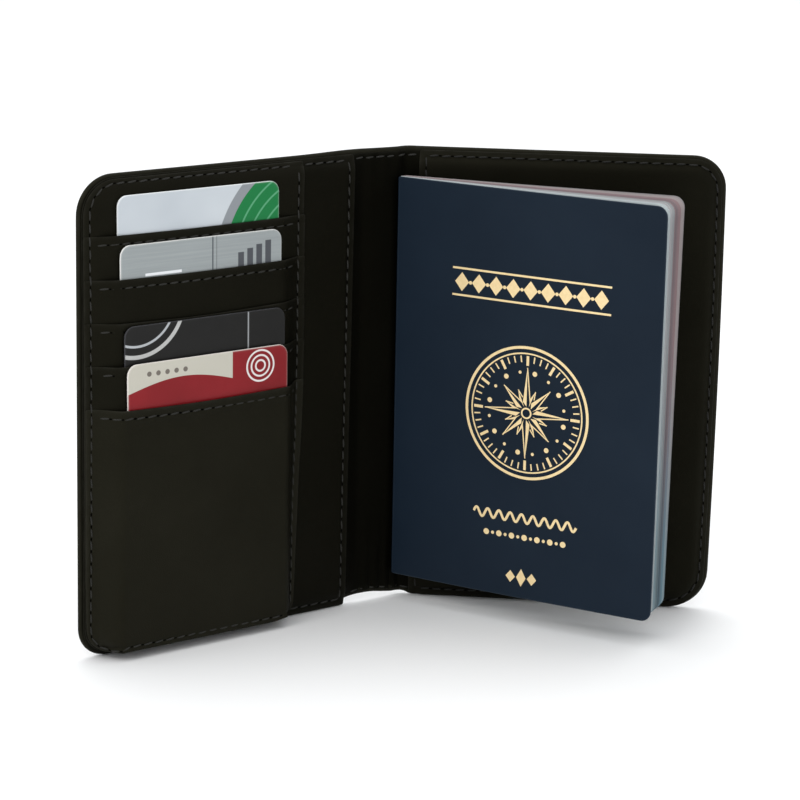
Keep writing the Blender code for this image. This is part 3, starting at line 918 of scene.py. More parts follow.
for i in range(5):
    s = Shape()
    zline = MOUTHS[i] - 2.5

    def hem_surface(u, z, i=i):
        return pocket_fronts[i](u, np.full_like(z, MOUTHS[i] - 2.5), np.full_like(u, 9.0))

    def hem_move(u, z, i=i):
        middle = np.sin(math.pi * np.clip((u - 24) / 69, 0, 1)) ** 1.3
        return -SAG[i] * middle * (1 - 2.5 / 9.0)

    line_on(s, on_left, hem_surface, [SEAM_U + 1.0 + float(seam_shift(zline)), COLUMN_U - 0.9], [zline, zline], z_move=hem_move, height=0.24,
            bulge=0.03, lift=0.02)
    obj = s.make("pocket_hem_stitches_%d" % (i + 1), SEWING)
    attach(obj, "left_panel")
    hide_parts("pocket_hem_thread_%d" % (i + 1))

# right panel, inside
s = Shape()
r = R_TR - STITCH_IN
u1, z1 = corner(PANEL - STITCH_IN - r, HEIGHT - STITCH_IN - r, r, 90, 0)
r = R_BR - STITCH_IN
u2, z2 = corner(PANEL - STITCH_IN - r, STITCH_IN + r, r, 0, -90)
sleeve_at = lambda u, z: sleeve_front(u, z, np.full_like(u, 1.5))
line_on(s, on_right, sleeve_at, np.concatenate([[5.6], u1, u2, [5.6]]),
        np.concatenate([[HEIGHT - STITCH_IN], z1, z2, [STITCH_IN]]))
obj = s.make("perimeter_stitches_right", [THREAD_RIGHT_PAINTED_SHADE, HOLE_PAINTED_SHADE])
follows_booklet(obj)
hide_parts("perimeter_thread_right")

s = Shape()
line_on(s, on_right, lambda u, z: sleeve_front(u, z, np.full_like(u, 2.2)),
        [2.4 + 2.2 + sleeve_lo(2.0), 2.4 + 2.2 + sleeve_lo(HEIGHT - 2.0)], [2.0, HEIGHT - 2.0])
obj = s.make("sleeve_edge_stitches_right", [THREAD_RIGHT_PAINTED_SHADE, HOLE_PAINTED_SHADE])
follows_booklet(obj)
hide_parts("sleeve_thread_right")

# spine, inside
lining_at = lambda x, z: lining_front(x, z, np.full_like(x, 9.0))
for tag, zline in (("top", HEIGHT - STITCH_IN), ("bottom", SPINE_LINE)):
    s = Shape()
    line_on(s, on_cover, lining_at, [-1.6, CUT - 0.2], [zline, zline], z_move=draw_up, start=0.1)
    obj = s.make("spine_stitches_" + tag, SEWING)
    bends_left(obj)
    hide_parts("perimeter_thread_spine_" + tag)
    s = Shape()
    line_on(s, on_cover, lining_at, [CUT + 0.3, 21.4], [zline, zline], z_move=draw_up, start=0.1)
    obj = s.make("fold_stitches_" + tag, SEWING)
    bends_right(obj)

# outside
cover_at = lambda x, z: cover_back(x, z, np.full_like(x, 2.6))
s = Shape()
r = R_TL - STITCH_IN
xa, za = corner(-PANEL + STITCH_IN + r, HEIGHT - STITCH_IN - r, r, 90, 180)
r = R_BL - STITCH_IN
xb, zb = corner(-PANEL + STITCH_IN + r, STITCH_IN + r, r, 180, 270)
line_on(s, on_cover, cover_at, np.concatenate([[CUT - 0.3], xa, xb, [CUT - 0.3]]),
        np.concatenate([[HEIGHT - STITCH_IN], za, zb, [STITCH_IN]]), sign=-1.0, z_move=draw_up, start=0.1)
obj = s.make("outside_stitches_left", SEWING)
bends_left(obj)
s = Shape()
r = R_TR - STITCH_IN
xa, za = corner(SPINE + PANEL - STITCH_IN - r, HEIGHT - STITCH_IN - r, r, 90, 0)
r = R_BR - STITCH_IN
xb, zb = corner(SPINE + PANEL - STITCH_IN - r, STITCH_IN + r, r, 0, -90)
line_on(s, on_cover, cover_at, np.concatenate([[CUT + 0.3], xa, xb, [CUT + 0.3]]),
        np.concatenate([[HEIGHT - STITCH_IN], za, zb, [STITCH_IN]]), sign=-1.0, z_move=draw_up, start=0.1)
obj = s.make("outside_stitches_right", SEWING)
bends_right(obj)


for i in range(5):
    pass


# ---------------------------------------------------------------- cards
def card_coords(tree):
    src = tree.nodes.new("ShaderNodeUVMap")
    src.uv_map = "flat"
    sep = tree.nodes.new("ShaderNodeSeparateXYZ")
    tree.links.new(src.outputs[0], sep.inputs[0])
    return (math_node(tree, "MULTIPLY", sep.outputs[0], 100.0), math_node(tree, "MULTIPLY", sep.outputs[1], 100.0),
            src.outputs[0])


def disc(tree, x, y, cx, cy, r, soft=0.06):
    dx = math_node(tree, "SUBTRACT", x, cx)
    dy = math_node(tree, "SUBTRACT", y, cy)
    d = math_node(tree, "SQRT", math_node(tree, "ADD", math_node(tree, "MULTIPLY", dx, dx), math_node(tree, "MULTIPLY", dy, dy)))
    return ramp(tree, d, r - soft, r + soft, 1.0, 0.0)


def ring(tree, x, y, cx, cy, r, w):
    return math_node(tree, "SUBTRACT", disc(tree, x, y, cx, cy, r + w / 2), disc(tree, x, y, cx, cy, r - w / 2), clamp=True)


def bar(tree, v, lo, hi, soft=0.05):
    return math_node(tree, "MULTIPLY", ramp(tree, v, lo - soft, lo + soft), ramp(tree, v, hi - soft, hi + soft, 1.0, 0.0), clamp=True)


def patch(tree, x, y, x0, x1, y0, y1):
    return math_node(tree, "MULTIPLY", bar(tree, x, x0, x1), bar(tree, y, y0, y1), clamp=True)


def card_material(name, build, rough=0.32, coat=0.0, metallic=0.0, spec=0.22):
    mat, tree, bsdf = nodes_of(name)
    x, y, uv = card_coords(tree)
    geo = tree.nodes.new("ShaderNodeAttribute")
    geo.attribute_name = "wear"
    colour = build(tree, x, y, uv, geo.outputs["Fac"])
    tree.links.new(colour, bsdf.inputs["Base Color"])
    vec = coords(tree, True)
    scuff = ramp(tree, noise(tree, vec, 60.0, 5.0, 0.65), 0.35, 0.75, rough - 0.03, rough + 0.10)
    tree.links.new(scuff, bsdf.inputs["Roughness"])
    b = tree.nodes.new("ShaderNodeBump")
    b.inputs["Strength"].default_value = 0.05
    b.inputs["Distance"].default_value = 0.00003
    tree.links.new(noise(tree, vec, 500.0, 2.0), b.inputs["Height"])
    tree.links.new(b.outputs[0], bsdf.inputs["Normal"])
    bsdf.inputs["Specular IOR Level"].default_value = spec
    bsdf.inputs["Coat Weight"].default_value = coat
    bsdf.inputs["Coat Roughness"].default_value = 0.18
    bsdf.inputs["Metallic"].default_value = metallic
    return mat


# Card faces: x runs from the card's outer side (0) to the fold side (54), y from its lower end (0) to 85.6.
def face_one(tree, x, y, uv, core):
    base = mix_colour(tree, ramp(tree, noise(tree, uv, 4.0, 2.0), 0.3, 0.7), (0.47, 0.51, 0.55), (0.56, 0.60, 0.635))
    far = disc(tree, x, y, 66.0, 62.0, 31.0)
    mid = disc(tree, x, y, 66.0, 62.0, 34.0)
    base = mix_colour(tree, mid, base, (0.25, 0.27, 0.29))
    base = mix_colour(tree, far, base, (0.004, 0.175, 0.045))
    for k in range(3):
        base = mix_colour(tree, ring(tree, x, y, 66.0, 62.0, 27.5 - 3.6 * k, 0.55), base, (0.09, 0.34, 0.17))
    base = mix_colour(tree, patch(tree, x, y, 6.0, 17.0, 66.0, 67.2), base, (0.25, 0.29, 0.33))
    return mix_colour(tree, core, base, (0.82, 0.84, 0.84))


def face_two(tree, x, y, uv, core):
    m = tree.nodes.new("ShaderNodeMapping")
    m.inputs["Scale"].default_value = (3.0, 160.0, 1.0)
    tree.links.new(uv, m.inputs[0])
    brushed = noise(tree, m.outputs[0], 1.0, 4.0, 0.7)
    base = mix_colour(tree, brushed, (0.235, 0.258, 0.262), (0.36, 0.39, 0.395))
    base = mix_colour(tree, bar(tree, x, 30.2, 30.6), base, (0.06, 0.07, 0.08))
    base = mix_colour(tree, bar(tree, x, 31.6, 31.8), base, (0.12, 0.13, 0.14))
    for k in range(4):
        base = mix_colour(tree, patch(tree, x, y, 39.0 + 3.1 * k, 41.0 + 3.1 * k, 75.4, 80.0 + 0.9 * k), base, (0.07, 0.075, 0.085))
    base = mix_colour(tree, patch(tree, x, y, 8.0, 20.0, 76.2, 77.0), base, (0.80, 0.82, 0.84))
    return mix_colour(tree, core, base, (0.86, 0.85, 0.82))


def face_three(tree, x, y, uv, core):
    base = mix_colour(tree, noise(tree, uv, 30.0, 4.0), (0.0045, 0.0044, 0.0040), (0.0085, 0.0083, 0.0078))
    arc_ = ring(tree, x, y, 4.0, 92.0, 15.5, 1.2)
    base = mix_colour(tree, arc_, base, (0.46, 0.46, 0.45))
    base = mix_colour(tree, ring(tree, x, y, 4.0, 92.0, 12.4, 0.7), base, (0.42, 0.44, 0.46))
    base = mix_colour(tree, bar(tree, x, 41.0, 41.45), base, (0.30, 0.31, 0.32))
    return mix_colour(tree, core, base, (0.05, 0.05, 0.055))


def face_four(tree, x, y, uv, core):
    base = mix_colour(tree, ramp(tree, noise(tree, uv, 5.0, 3.0), 0.3, 0.7), (0.190, 0.0045, 0.0075), (0.245, 0.0075, 0.0125))
    # a cream field with a curved lower edge
    dip = math_node(tree, "MULTIPLY_ADD", math_node(tree, "SINE", math_node(tree, "MULTIPLY", x, 0.085)), -3.4, y)
    cream = math_node(tree, "MULTIPLY", ramp(tree, dip, 77.0, 77.1), ramp(tree, x, 34.9, 35.0, 1.0, 0.0), clamp=True)
    base = mix_colour(tree, cream, base, (0.52, 0.50, 0.43))
    for k in range(5):
        base = mix_colour(tree, disc(tree, x, y, 7.0 + 3.0 * k, 82.4, 0.75), base, (0.16, 0.14, 0.12))
    for k in range(3):
        base = mix_colour(tree, ring(tree, x, y, 44.5, 80.2 - 0.0 * k, 1.6 + 1.5 * k, 0.55), base, (0.74, 0.70, 0.68))
    base = mix_colour(tree, patch(tree, x, y, 8.0, 26.0, 70.5, 71.3), base, (0.70, 0.64, 0.60))
    return mix_colour(tree, core, base, (0.80, 0.75, 0.70))


def card_back(tree, x, y, uv, core):
    base = mix_colour(tree, noise(tree, uv, 8.0, 3.0), (0.50, 0.52, 0.54), (0.58, 0.60, 0.62))
    base = mix_colour(tree, bar(tree, x, 39.5, 50.0), base, (0.012, 0.012, 0.013))
    base = mix_colour(tree, patch(tree, x, y, 24.0, 33.0, 14.0, 68.0), base, (0.78, 0.78, 0.74))
    return base


CARD_BACK = card_material("card_back", card_back)
BUILDERS = (face_one, face_two, face_three, face_four)
for i in range(4):
    face = card_material("card_face_%d" % (i + 1), BUILDERS[i], rough=(0.34, 0.40, 0.42, 0.36)[i])
    top = CARD_TOPS[i]
    n0 = CARD_N[i]
    fine = np.array([0, .05, .12, .2, .32, .6, 1.2, 2.2, 3.4, 5.0])
    box = (CARD_U0, CARD_U0 + CARD_W, top - CARD_H, top)
    bend = (0.0, 0.04, -0.03, 0.05)[i]
    obj = leaf("card_body_%d" % (i + 1), on_left_flat, ladder(box[2], box[3], 5.0, fine, fine), ladder(box[0], box[1], 5.0, fine, fine),
               box, (CARD_R,) * 4, lambda x, z, d, n0=n0: n0 + CARD_T + 0 * x, lambda x, z, d, n0=n0: n0 + 0 * x,
               [face, CARD_BACK], body="card_%d" % (i + 1), re=0.16, wear_depth=0.10, thin=0.55, sharp=40.0)
    mesh = obj.data
    # card-face coordinates, and a back of its own
    layer = mesh.uv_layers["flat"]
    co = np.zeros(len(layer.data) * 2, np.float32)
    layer.data.foreach_get("uv", co)
    co = co.reshape(-1, 2)
    co[:, 0] = (CARD_U0 + CARD_W) / 100 - co[:, 0]
    co[:, 1] = co[:, 1] - (top - CARD_H) / 100
    layer.data.foreach_set("uv", co.ravel())
    half = (len(mesh.polygons) - 0) // 2
    normals = np.zeros(len(mesh.polygons) * 3, np.float32)
    mesh.polygons.foreach_get("normal", normals)
    normals = normals.reshape(-1, 3)
    is_back = normals @ np.array([LN[0], LN[1], 0.0]) < -0.6
    mesh.polygons.foreach_set("material_index", is_back.astype(np.int32))
    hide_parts("card_%d" % (i + 1))


# ---------------------------------------------------------------- booklet
PASS_W, PASS_H, PASS_Z0, PASS_R = 88.0, 125.0, 8.5, 3.3
LEAF_XY = ((-0.001585, 0.0329634), (-0.0023393, 0.0324332), (-0.0028945, 0.0318839), (-0.0030515, 0.0312962))
LEAF_A = (17.0, 19.4, 21.6, 23.6)
COVER_XY = (-0.0034832, 0.0309862)
Z0, Z1 = PASS_Z0, PASS_Z0 + PASS_H


def bow(x, z=None):
    return 0.55 * np.sin(math.pi * np.clip(x / PASS_W, 0, 1))


def cloth_material():
    mat, tree, bsdf = nodes_of("booklet_cover")
    vec = coords(tree, True)
    cells = tree.nodes.new("ShaderNodeTexVoronoi")
    cells.inputs["Scale"].default_value = 190.0
    tree.links.new(vec, cells.inputs["Vector"])
    fine = noise(tree, vec, 420.0, 3.0)
    h = math_node(tree, "MULTIPLY_ADD", cells.outputs["Distance"], 0.6, fine)
    b = tree.nodes.new("ShaderNodeBump")
    b.inputs["Strength"].default_value = 0.12
    b.inputs["Distance"].default_value = 0.00008
    tree.links.new(h, b.inputs["Height"])
    tree.links.new(b.outputs[0], bsdf.inputs["Normal"])
    cloud = noise(tree, vec, 2.6, 4.0)
    colour = mix_colour(tree, ramp(tree, cloud, 0.3, 0.7), (0.0046, 0.0112, 0.0215), (0.0066, 0.0145, 0.0265))
    wear = tree.nodes.new("ShaderNodeAttribute")
    wear.attribute_name = "wear"
    colour = mix_colour(tree, math_node(tree, "MULTIPLY", wear.outputs["Fac"], 0.45), colour, (0.085, 0.110, 0.140))
    tree.links.new(colour, bsdf.inputs["Base Color"])
    tree.links.new(ramp(tree, noise(tree, vec, 9.0, 3.0), 0.3, 0.7, 0.46, 0.56), bsdf.inputs["Roughness"])
    bsdf.inputs["Specular IOR Level"].default_value = 0.12
    return mat


NAVY = cloth_material()
ENDPAPER = plain("endpaper", (0.62, 0.66, 0.70), (0.70, 0.73, 0.75), 0.8, spec=0.25, scale=8.0, uv=True, bump=0.08)


def foil_material():
    mat, tree, bsdf = nodes_of("gold_foil")
    vec = coords(tree, False)
    f = noise(tree, vec, 900.0, 3.0)
    tree.links.new(mix_colour(tree, f, (0.80, 0.60, 0.30), (0.95, 0.76, 0.44)), bsdf.inputs["Base Color"])
    tree.links.new(ramp(tree, noise(tree, vec, 2500.0, 2.0), 0.3, 0.7, 0.34, 0.50), bsdf.inputs["Roughness"])
    bsdf.inputs["Metallic"].default_value = 0.55
    bsdf.inputs["Specular IOR Level"].default_value = 0.6
    return mat


FOIL = foil_material()

on_front = hinged(COVER_XY, 23.6)
fine = np.array([0, .06, .15, .3, .5, .9, 1.5, 2.3, 3.4, 5.2])
front_cover = leaf("booklet_front_cover", on_front, ladder(Z0, Z1, 4.0, fine, fine), ladder(0.1, PASS_W + 0.1, 4.0, fine, fine),
                   (0.1, PASS_W + 0.1, Z0, Z1), (0.3, PASS_R, PASS_R, 0.3), lambda x, z, d: 0.46 + bow(x), lambda x, z, d: 0.08 + bow(x),
                   [NAVY, ENDPAPER], body="passport_front", re=0.2, wear_depth=0.10, thin=0.4)
normals = np.zeros(len(front_cover.data.polygons) * 3, np.float32)
front_cover.data.polygons.foreach_get("normal", normals)
a = -math.radians(29.1)
front_cover.data.polygons.foreach_set("material_index", (normals.reshape(-1, 3) @ np.array([math.sin(a), -math.cos(a), 0.0]) < -0.6).astype(np.int32))
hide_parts("passport_front_cover")

back_cover = leaf("booklet_back_cover", on_right_flat, ladder(Z0, Z1 - 0.3, 5.0, fine, fine), ladder(1.5, 85.5, 5.0, fine, fine),
                  (1.5, 85.5, Z0, Z1 - 0.3), (0.3, PASS_R, PASS_R, 4.5), lambda x, z, d: 2.40 + 0 * x, lambda x, z, d: 2.02 + 0 * x,
                  [NAVY], body="passport_back", re=0.18, wear_depth=0.3, thin=0.4)
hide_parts("passport_back_cover")


def bezier_chain(points, per=10):
    """A smooth line through the points (Catmull-Rom)."""
    p = np.array([points[0]] + list(points) + [points[-1]], float)
    out = []
    for i in range(1, len(p) - 2):
        for t in np.linspace(0, 1, per, endpoint=False):
            out.append(0.5 * ((2 * p[i]) + (p[i + 1] - p[i - 1]) * t + (2 * p[i - 1] - 5 * p[i] + 4 * p[i + 1] - p[i + 2]) * t * t
                              + (3 * p[i] - p[i - 1] - 3 * p[i + 1] + p[i + 2]) * t ** 3))
    out.append(p[-2])
    return np.array(out)


# booklet spine: a strip that curls from the back cover round to the front cover
line = bezier_chain([(1.55, 2.21), (0.4, 2.36), (-0.8, 2.86), (-1.75, 3.75), (-2.3, 4.6), (-2.46, 5.05)], 6)
tangent = np.gradient(line, axis=0)
tangent /= np.linalg.norm(tangent, axis=1)[:, None]
side = np.stack([tangent[:, 1], -tangent[:, 0]], -1)
zs = np.concatenate([Z0 + fine, between(Z0 + 8, Z1 - 9, 6.0), Z1 - 1.1 - fine[::-1]])
verts, faces = [], []
for k, sgn in enumerate((1, -1)):
    for zv in zs:
        taper = min(1.0, 0.35 + min(zv - Z0, Z1 - 1.1 - zv) / 0.3)
        q = line + side * (0.19 * sgn * taper)
        verts.append(on_right_flat(q[:, 0], q[:, 1], np.full(len(q), zv)))
verts = np.concatenate(verts)
R, C = len(zs), len(line)
idx = np.arange(R * C).reshape(R, C)
q = np.stack([idx[:-1, :-1], idx[:-1, 1:], idx[1:, 1:], idx[1:, :-1]], -1).reshape(-1, 4)
border = np.concatenate([idx[0, :], idx[1:, -1], idx[-1, -2::-1], idx[-2:0:-1, 0]])
nxt = np.roll(border, -1)
faces = np.concatenate([q, q[:, ::-1] + R * C, np.stack([border, border + R * C, nxt + R * C, nxt], -1)])
a, b, c = verts[idx[5, 5]], verts[idx[5, 6]], verts[idx[6, 5]]
if np.dot(np.cross(b - a, c - a), verts[idx[5, 5]] - verts[idx[5, 5] + R * C]) < 0:
    faces = faces[:, ::-1]
length = np.concatenate([[0], np.cumsum(np.linalg.norm(np.diff(line, axis=0), axis=1))])
uv = np.stack([np.tile(length, R) / 100 + 0.9, np.repeat(zs, C) / 100], -1)
spine_strip = new_object("booklet_spine", verts, faces, [NAVY], np.concatenate([uv, uv]), np.zeros(len(verts)), sharp=50.0)
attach(spine_strip, "passport_back")
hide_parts("passport_spine")

# round fold of the cloth on the front cover's hinge line
bead_z = np.concatenate([Z0 + 0.15 + np.array([0.0, 0.1, 0.3]), between(Z0 + 6, Z1 - 6, 8.0), Z1 - 0.15 - np.array([0.3, 0.1, 0.0])])
bead_r = np.concatenate([[0.16, 0.29, 0.36], np.full(len(bead_z) - 6, 0.36), [0.36, 0.29, 0.16]])
SIDES = 18
turns = np.linspace(0, 2 * math.pi, SIDES, endpoint=False)
centre = np.array(COVER_XY) * 1000.0
verts = np.concatenate([stand(centre + r_ * np.stack([np.cos(turns), np.sin(turns)], -1), np.full(SIDES, z_))
                        for r_, z_ in zip(bead_r, bead_z)])
faces = []
for i in range(len(bead_z) - 1):
    for j in range(SIDES):
        k = (j + 1) % SIDES
        faces.append((i * SIDES + j, i * SIDES + k, (i + 1) * SIDES + k, (i + 1) * SIDES + j))
faces.append(tuple(range(SIDES - 1, -1, -1)))
faces.append(tuple((len(bead_z) - 1) * SIDES + j for j in range(SIDES)))
uv = np.stack([np.tile(turns * 0.36, len(bead_z)) / 100 + 0.7, np.repeat(bead_z, SIDES) / 100], -1)
bead = new_object("booklet_hinge_fold", verts, faces, [NAVY], uv, np.zeros(len(verts)), sharp=50.0)
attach(bead, "passport_front")


# leaves: thin sheets in four sections, fanned wider at the top
def paper_material(name, inner, high, low):
    mat, tree, bsdf = nodes_of(name)
    x, y, uv = card_coords(tree)
    fibre = noise(tree, uv, 300.0, 4.0)
    base = mix_colour(tree, fibre, inner, tuple(min(1.0, c * 1.04) for c in inner))
    fine_lines = tree.nodes.new("ShaderNodeTexWave")
    fine_lines.wave_type = "RINGS"
    fine_lines.inputs["Scale"].default_value = 26.0
    fine_lines.inputs["Distortion"].default_value = 6.0
    tree.links.new(uv, fine_lines.inputs["Vector"])
    base = mix_colour(tree, ramp(tree, fine_lines.outputs["Fac"], 0.80, 0.95, 0.0, 0.16), base, tuple(c * 0.8 for c in inner))
    # the trimmed edges take a tint that changes down the booklet and from leaf to leaf, greyed as painted shade of the
    # leaves on one another
    pick = tree.nodes.new("ShaderNodeAttribute")
    pick.attribute_name = "leaf"
    drift = math_node(tree, "MULTIPLY_ADD", pick.outputs["Fac"], 34.0, y)
    edge_tint_and_shade = mix_colour(tree, ramp(tree, drift, 30.0, 95.0), low, high)
    # painted shade: dark lines on some leaves' edges where they lie in each other's shadow, strongest towards the
    # bottom
    gap_painted_shade = math_node(tree, "MULTIPLY", ramp(tree, pick.outputs["Fac"], 0.55, 1.0, 0.0, 0.85), ramp(tree, y, 20.0, 100.0, 1.0, 0.4))
    edge_tint_and_shade = mix_colour(tree, gap_painted_shade, edge_tint_and_shade, tuple(c * 0.42 for c in low))
    rim_ = tree.nodes.new("ShaderNodeAttribute")
    rim_.attribute_name = "wear"
    base = mix_colour(tree, rim_.outputs["Fac"], base, edge_tint_and_shade)
    tree.links.new(base, bsdf.inputs["Base Color"])
    bsdf.inputs["Roughness"].default_value = 0.75
    bsdf.inputs["Specular IOR Level"].default_value = 0.2
    b_ = tree.nodes.new("ShaderNodeBump")
    b_.inputs["Strength"].default_value = 0.08
    b_.inputs["Distance"].default_value = 0.00004
    tree.links.new(fibre, b_.inputs["Height"])
    tree.links.new(b_.outputs[0], bsdf.inputs["Normal"])
    return mat


PAPER_IN = (0.62, 0.61, 0.58)
# edge colours: the trimmed edges' tint, greyed as painted shade
PAPERS = [paper_material("leaves_grey", PAPER_IN, (0.44, 0.39, 0.39), (0.30, 0.40, 0.44)),
          paper_material("leaves_rose", PAPER_IN, (0.36, 0.26, 0.27), (0.20, 0.31, 0.37)),
          paper_material("leaves_blue", PAPER_IN, (0.50, 0.50, 0.51), (0.30, 0.40, 0.44)),
          paper_material("leaves_white", PAPER_IN, (0.58, 0.63, 0.64), (0.50, 0.54, 0.55))]
# angle of the first and the last leaf of a section: at the bottom, and at the top
FAN = (((15.6, 17.0), (12.9, 15.4)), ((17.3, 19.2), (15.8, 18.3)), ((19.4, 21.4), (18.7, 20.9)), ((21.7, 23.3), (21.3, 23.1)))


def unsmooth(w):
    return 0.5 - math.sin(math.asin(1 - 2 * min(max(w, 0.0), 1.0)) / 3)


PER = 6
for k in range(4):
    o = np.array(LEAF_XY[k]) * 1000.0
    u_axis = float((o - HR) @ RU)
    x_end = 84.7 - u_axis
    for j in range(PER):
        share = j / (PER - 1)
        low = FAN[k][0][0] + (FAN[k][0][1] - FAN[k][0][0]) * share
        high = FAN[k][1][0] + (FAN[k][1][1] - FAN[k][1][0]) * share
        t_low, t_high = unsmooth(low / LEAF_A[k]), unsmooth(high / LEAF_A[k])
        if abs(t_low - t_high) < 0.01:
            t_high = t_low - 0.01
        slope = (t_high - t_low) / (Z1 - Z0)
        z_start, z_end = Z0 - t_low / slope, Z0 + (1 - t_low) / slope
        offset = (j - (PER - 1) / 2) * 0.084
        jx = 0.16 * math.sin(j * 4.1 + k * 2.3)
        jz = 0.07 * math.sin(j * 2.7 + k * 5.1)
        x0, x1, z0, z1 = 0.0, x_end + jx + (0.5, 0.4, 0.2, 0.0)[k], Z0 + 0.18 + jz, Z1 - 0.08 + jz
        step = np.array([0, .12, .4, .9, 1.6, 2.5, 3.3])
        rws = np.unique(np.round(np.concatenate([z0 + step, between(z0 + 3.3, z1 - 3.3, 7.0), z1 - step]), 4))
        cls = np.concatenate([between(x0, x1 - 6.0, 5.0), x1 - np.array([4.5, 3.3, 2.4, 1.6, 0.9, 0.4, 0.12, 0.0])])
        zg = rws[:, None] + 0 * cls[None, :]
        hi = side_line(rws, x1, -1, z0, z1, PASS_R, PASS_R)
        xg = np.empty_like(zg)
        for c, cv in enumerate(cls):
            xg[:, c] = cv + (hi - x1) * min(1.0, max(0.0, 1 - (x1 - cv) / 14.0) * 14.0 / 9.0)
        ng = offset + bow(xg) * 0.98
        w = smooth((zg - z_start) / (z_end - z_start))
        a_ = -np.radians(5.5 + LEAF_A[k] * w)
        ax = np.stack([np.cos(a_), np.sin(a_)], -1)
        an = np.stack([np.sin(a_), -np.cos(a_)], -1)
        top = stand(o + xg[..., None] * ax + (ng + 0.028)[..., None] * an, zg).reshape(-1, 3)
        bot = stand(o + xg[..., None] * ax + (ng - 0.028)[..., None] * an, zg).reshape(-1, 3)
        R, C = zg.shape
        idx = np.arange(R * C).reshape(R, C)
        q = np.stack([idx[:-1, :-1], idx[:-1, 1:], idx[1:, 1:], idx[1:, :-1]], -1).reshape(-1, 4)
        border = np.concatenate([idx[0, :], idx[1:, -1], idx[-1, -2::-1], idx[-2:0:-1, 0]])
        nxt = np.roll(border, -1)
        f = np.concatenate([q, q[:, ::-1] + R * C, np.stack([border, border + R * C, nxt + R * C, nxt], -1)])
        a, b, c = top[idx[3, 3]], top[idx[3, 4]], top[idx[4, 3]]
        if np.dot(np.cross(b - a, c - a), top[idx[3, 3]] - bot[idx[3, 3]]) < 0:
            f = f[:, ::-1]
        edge_d = np.minimum(np.minimum(xg[:, -1:] - xg, zg - z0), z1 - zg)
        rim_w = np.clip(1.25 - edge_d / 2.6, 0, 1).reshape(-1)
        uvs = np.stack([xg / 100, zg / 100], -1).reshape(-1, 2)
        page = new_object("booklet_leaf_%d_%d" % (k + 1, j + 1), np.concatenate([top, bot]), f, [PAPERS[k]],
                          np.concatenate([uvs, uvs]), np.concatenate([rim_w, rim_w]), sharp=40.0)
        attribute = page.data.attributes.new("leaf", "FLOAT", "POINT")
        attribute.data.foreach_set("value", np.full(len(page.data.vertices), 0.5 + 0.5 * math.sin(7.3 * j + 2.9 * k + 1.0), np.float32))
        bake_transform(page)
        if j == 0:
            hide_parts("passport_leaves_%d" % (k + 1))


# gold ornament on the front cover, raised a little
TOP, SINK = 0.032, 0.03


def foil_solid(shape, outline_x, outline_z):
    """A raised plate with the given outline (counter-clockwise)."""
    x, z = np.asarray(outline_x, float), np.asarray(outline_z, float)
    n = 0.46 + bow(x)
    top = on_front(x, n + TOP, z)
    bot = on_front(x, n - SINK, z)
    k = len(x)
    faces = [tuple(range(k)), tuple(range(2 * k - 1, k - 1, -1))]
    faces += [(i, i + k, (i + 1) % k + k, (i + 1) % k) for i in range(k)]
    shape.add(np.concatenate([top, bot]), [f[::-1] for f in faces])


def foil_ribbon(shape, x, z, width, closed=False):
    x, z = np.asarray(x, float), np.asarray(z, float)
    if closed:
        dx, dz = np.roll(x, -1) - np.roll(x, 1), np.roll(z, -1) - np.roll(z, 1)
    else:
        dx, dz = np.gradient(x), np.gradient(z)
    l = np.hypot(dx, dz)
    sx, sz = -dz / l * width / 2, dx / l * width / 2
    rows_ = []
    for sgn, off in ((1, TOP), (-1, TOP), (-1, -SINK), (1, -SINK)):
        xx, zz = x + sgn * sx, z + sgn * sz
        rows_.append(on_front(xx, 0.46 + bow(xx) + off, zz))
    k = len(x)
    v = np.concatenate(rows_)
    faces = []
    for i in range(k if closed else k - 1):
        j = (i + 1) % k
        for a_ in range(4):
            b_ = (a_ + 1) % 4
            faces.append((a_ * k + i, a_ * k + j, b_ * k + j, b_ * k + i))
    if not closed:
        faces.append((0, k, 2 * k, 3 * k))
        faces.append((k - 1, 4 * k - 1, 3 * k - 1, 2 * k - 1))
    shape.add(v, [f[::-1] for f in faces])


def circle(cx, cz, r, count=24, start=0.0):
    a_ = np.linspace(0, 2 * math.pi, count, endpoint=False) + start
    return cx + r * np.cos(a_), cz + r * np.sin(a_)


foil = Shape()
# upper band: a run of lozenges between two rules
for zr in (99.9, 108.1):
    foil_ribbon(foil, np.linspace(19.3, 71.7, 14), np.full(14, zr), 0.62)
for k in range(9):
    cx = 22.5 + k * 5.75
    foil_solid(foil, [cx - 2.35, cx, cx + 2.35, cx], [104.0, 101.1, 104.0, 106.9])
    if k < 8:
        foil_solid(foil, *circle(cx + 2.875, 104.0, 0.55, 12))
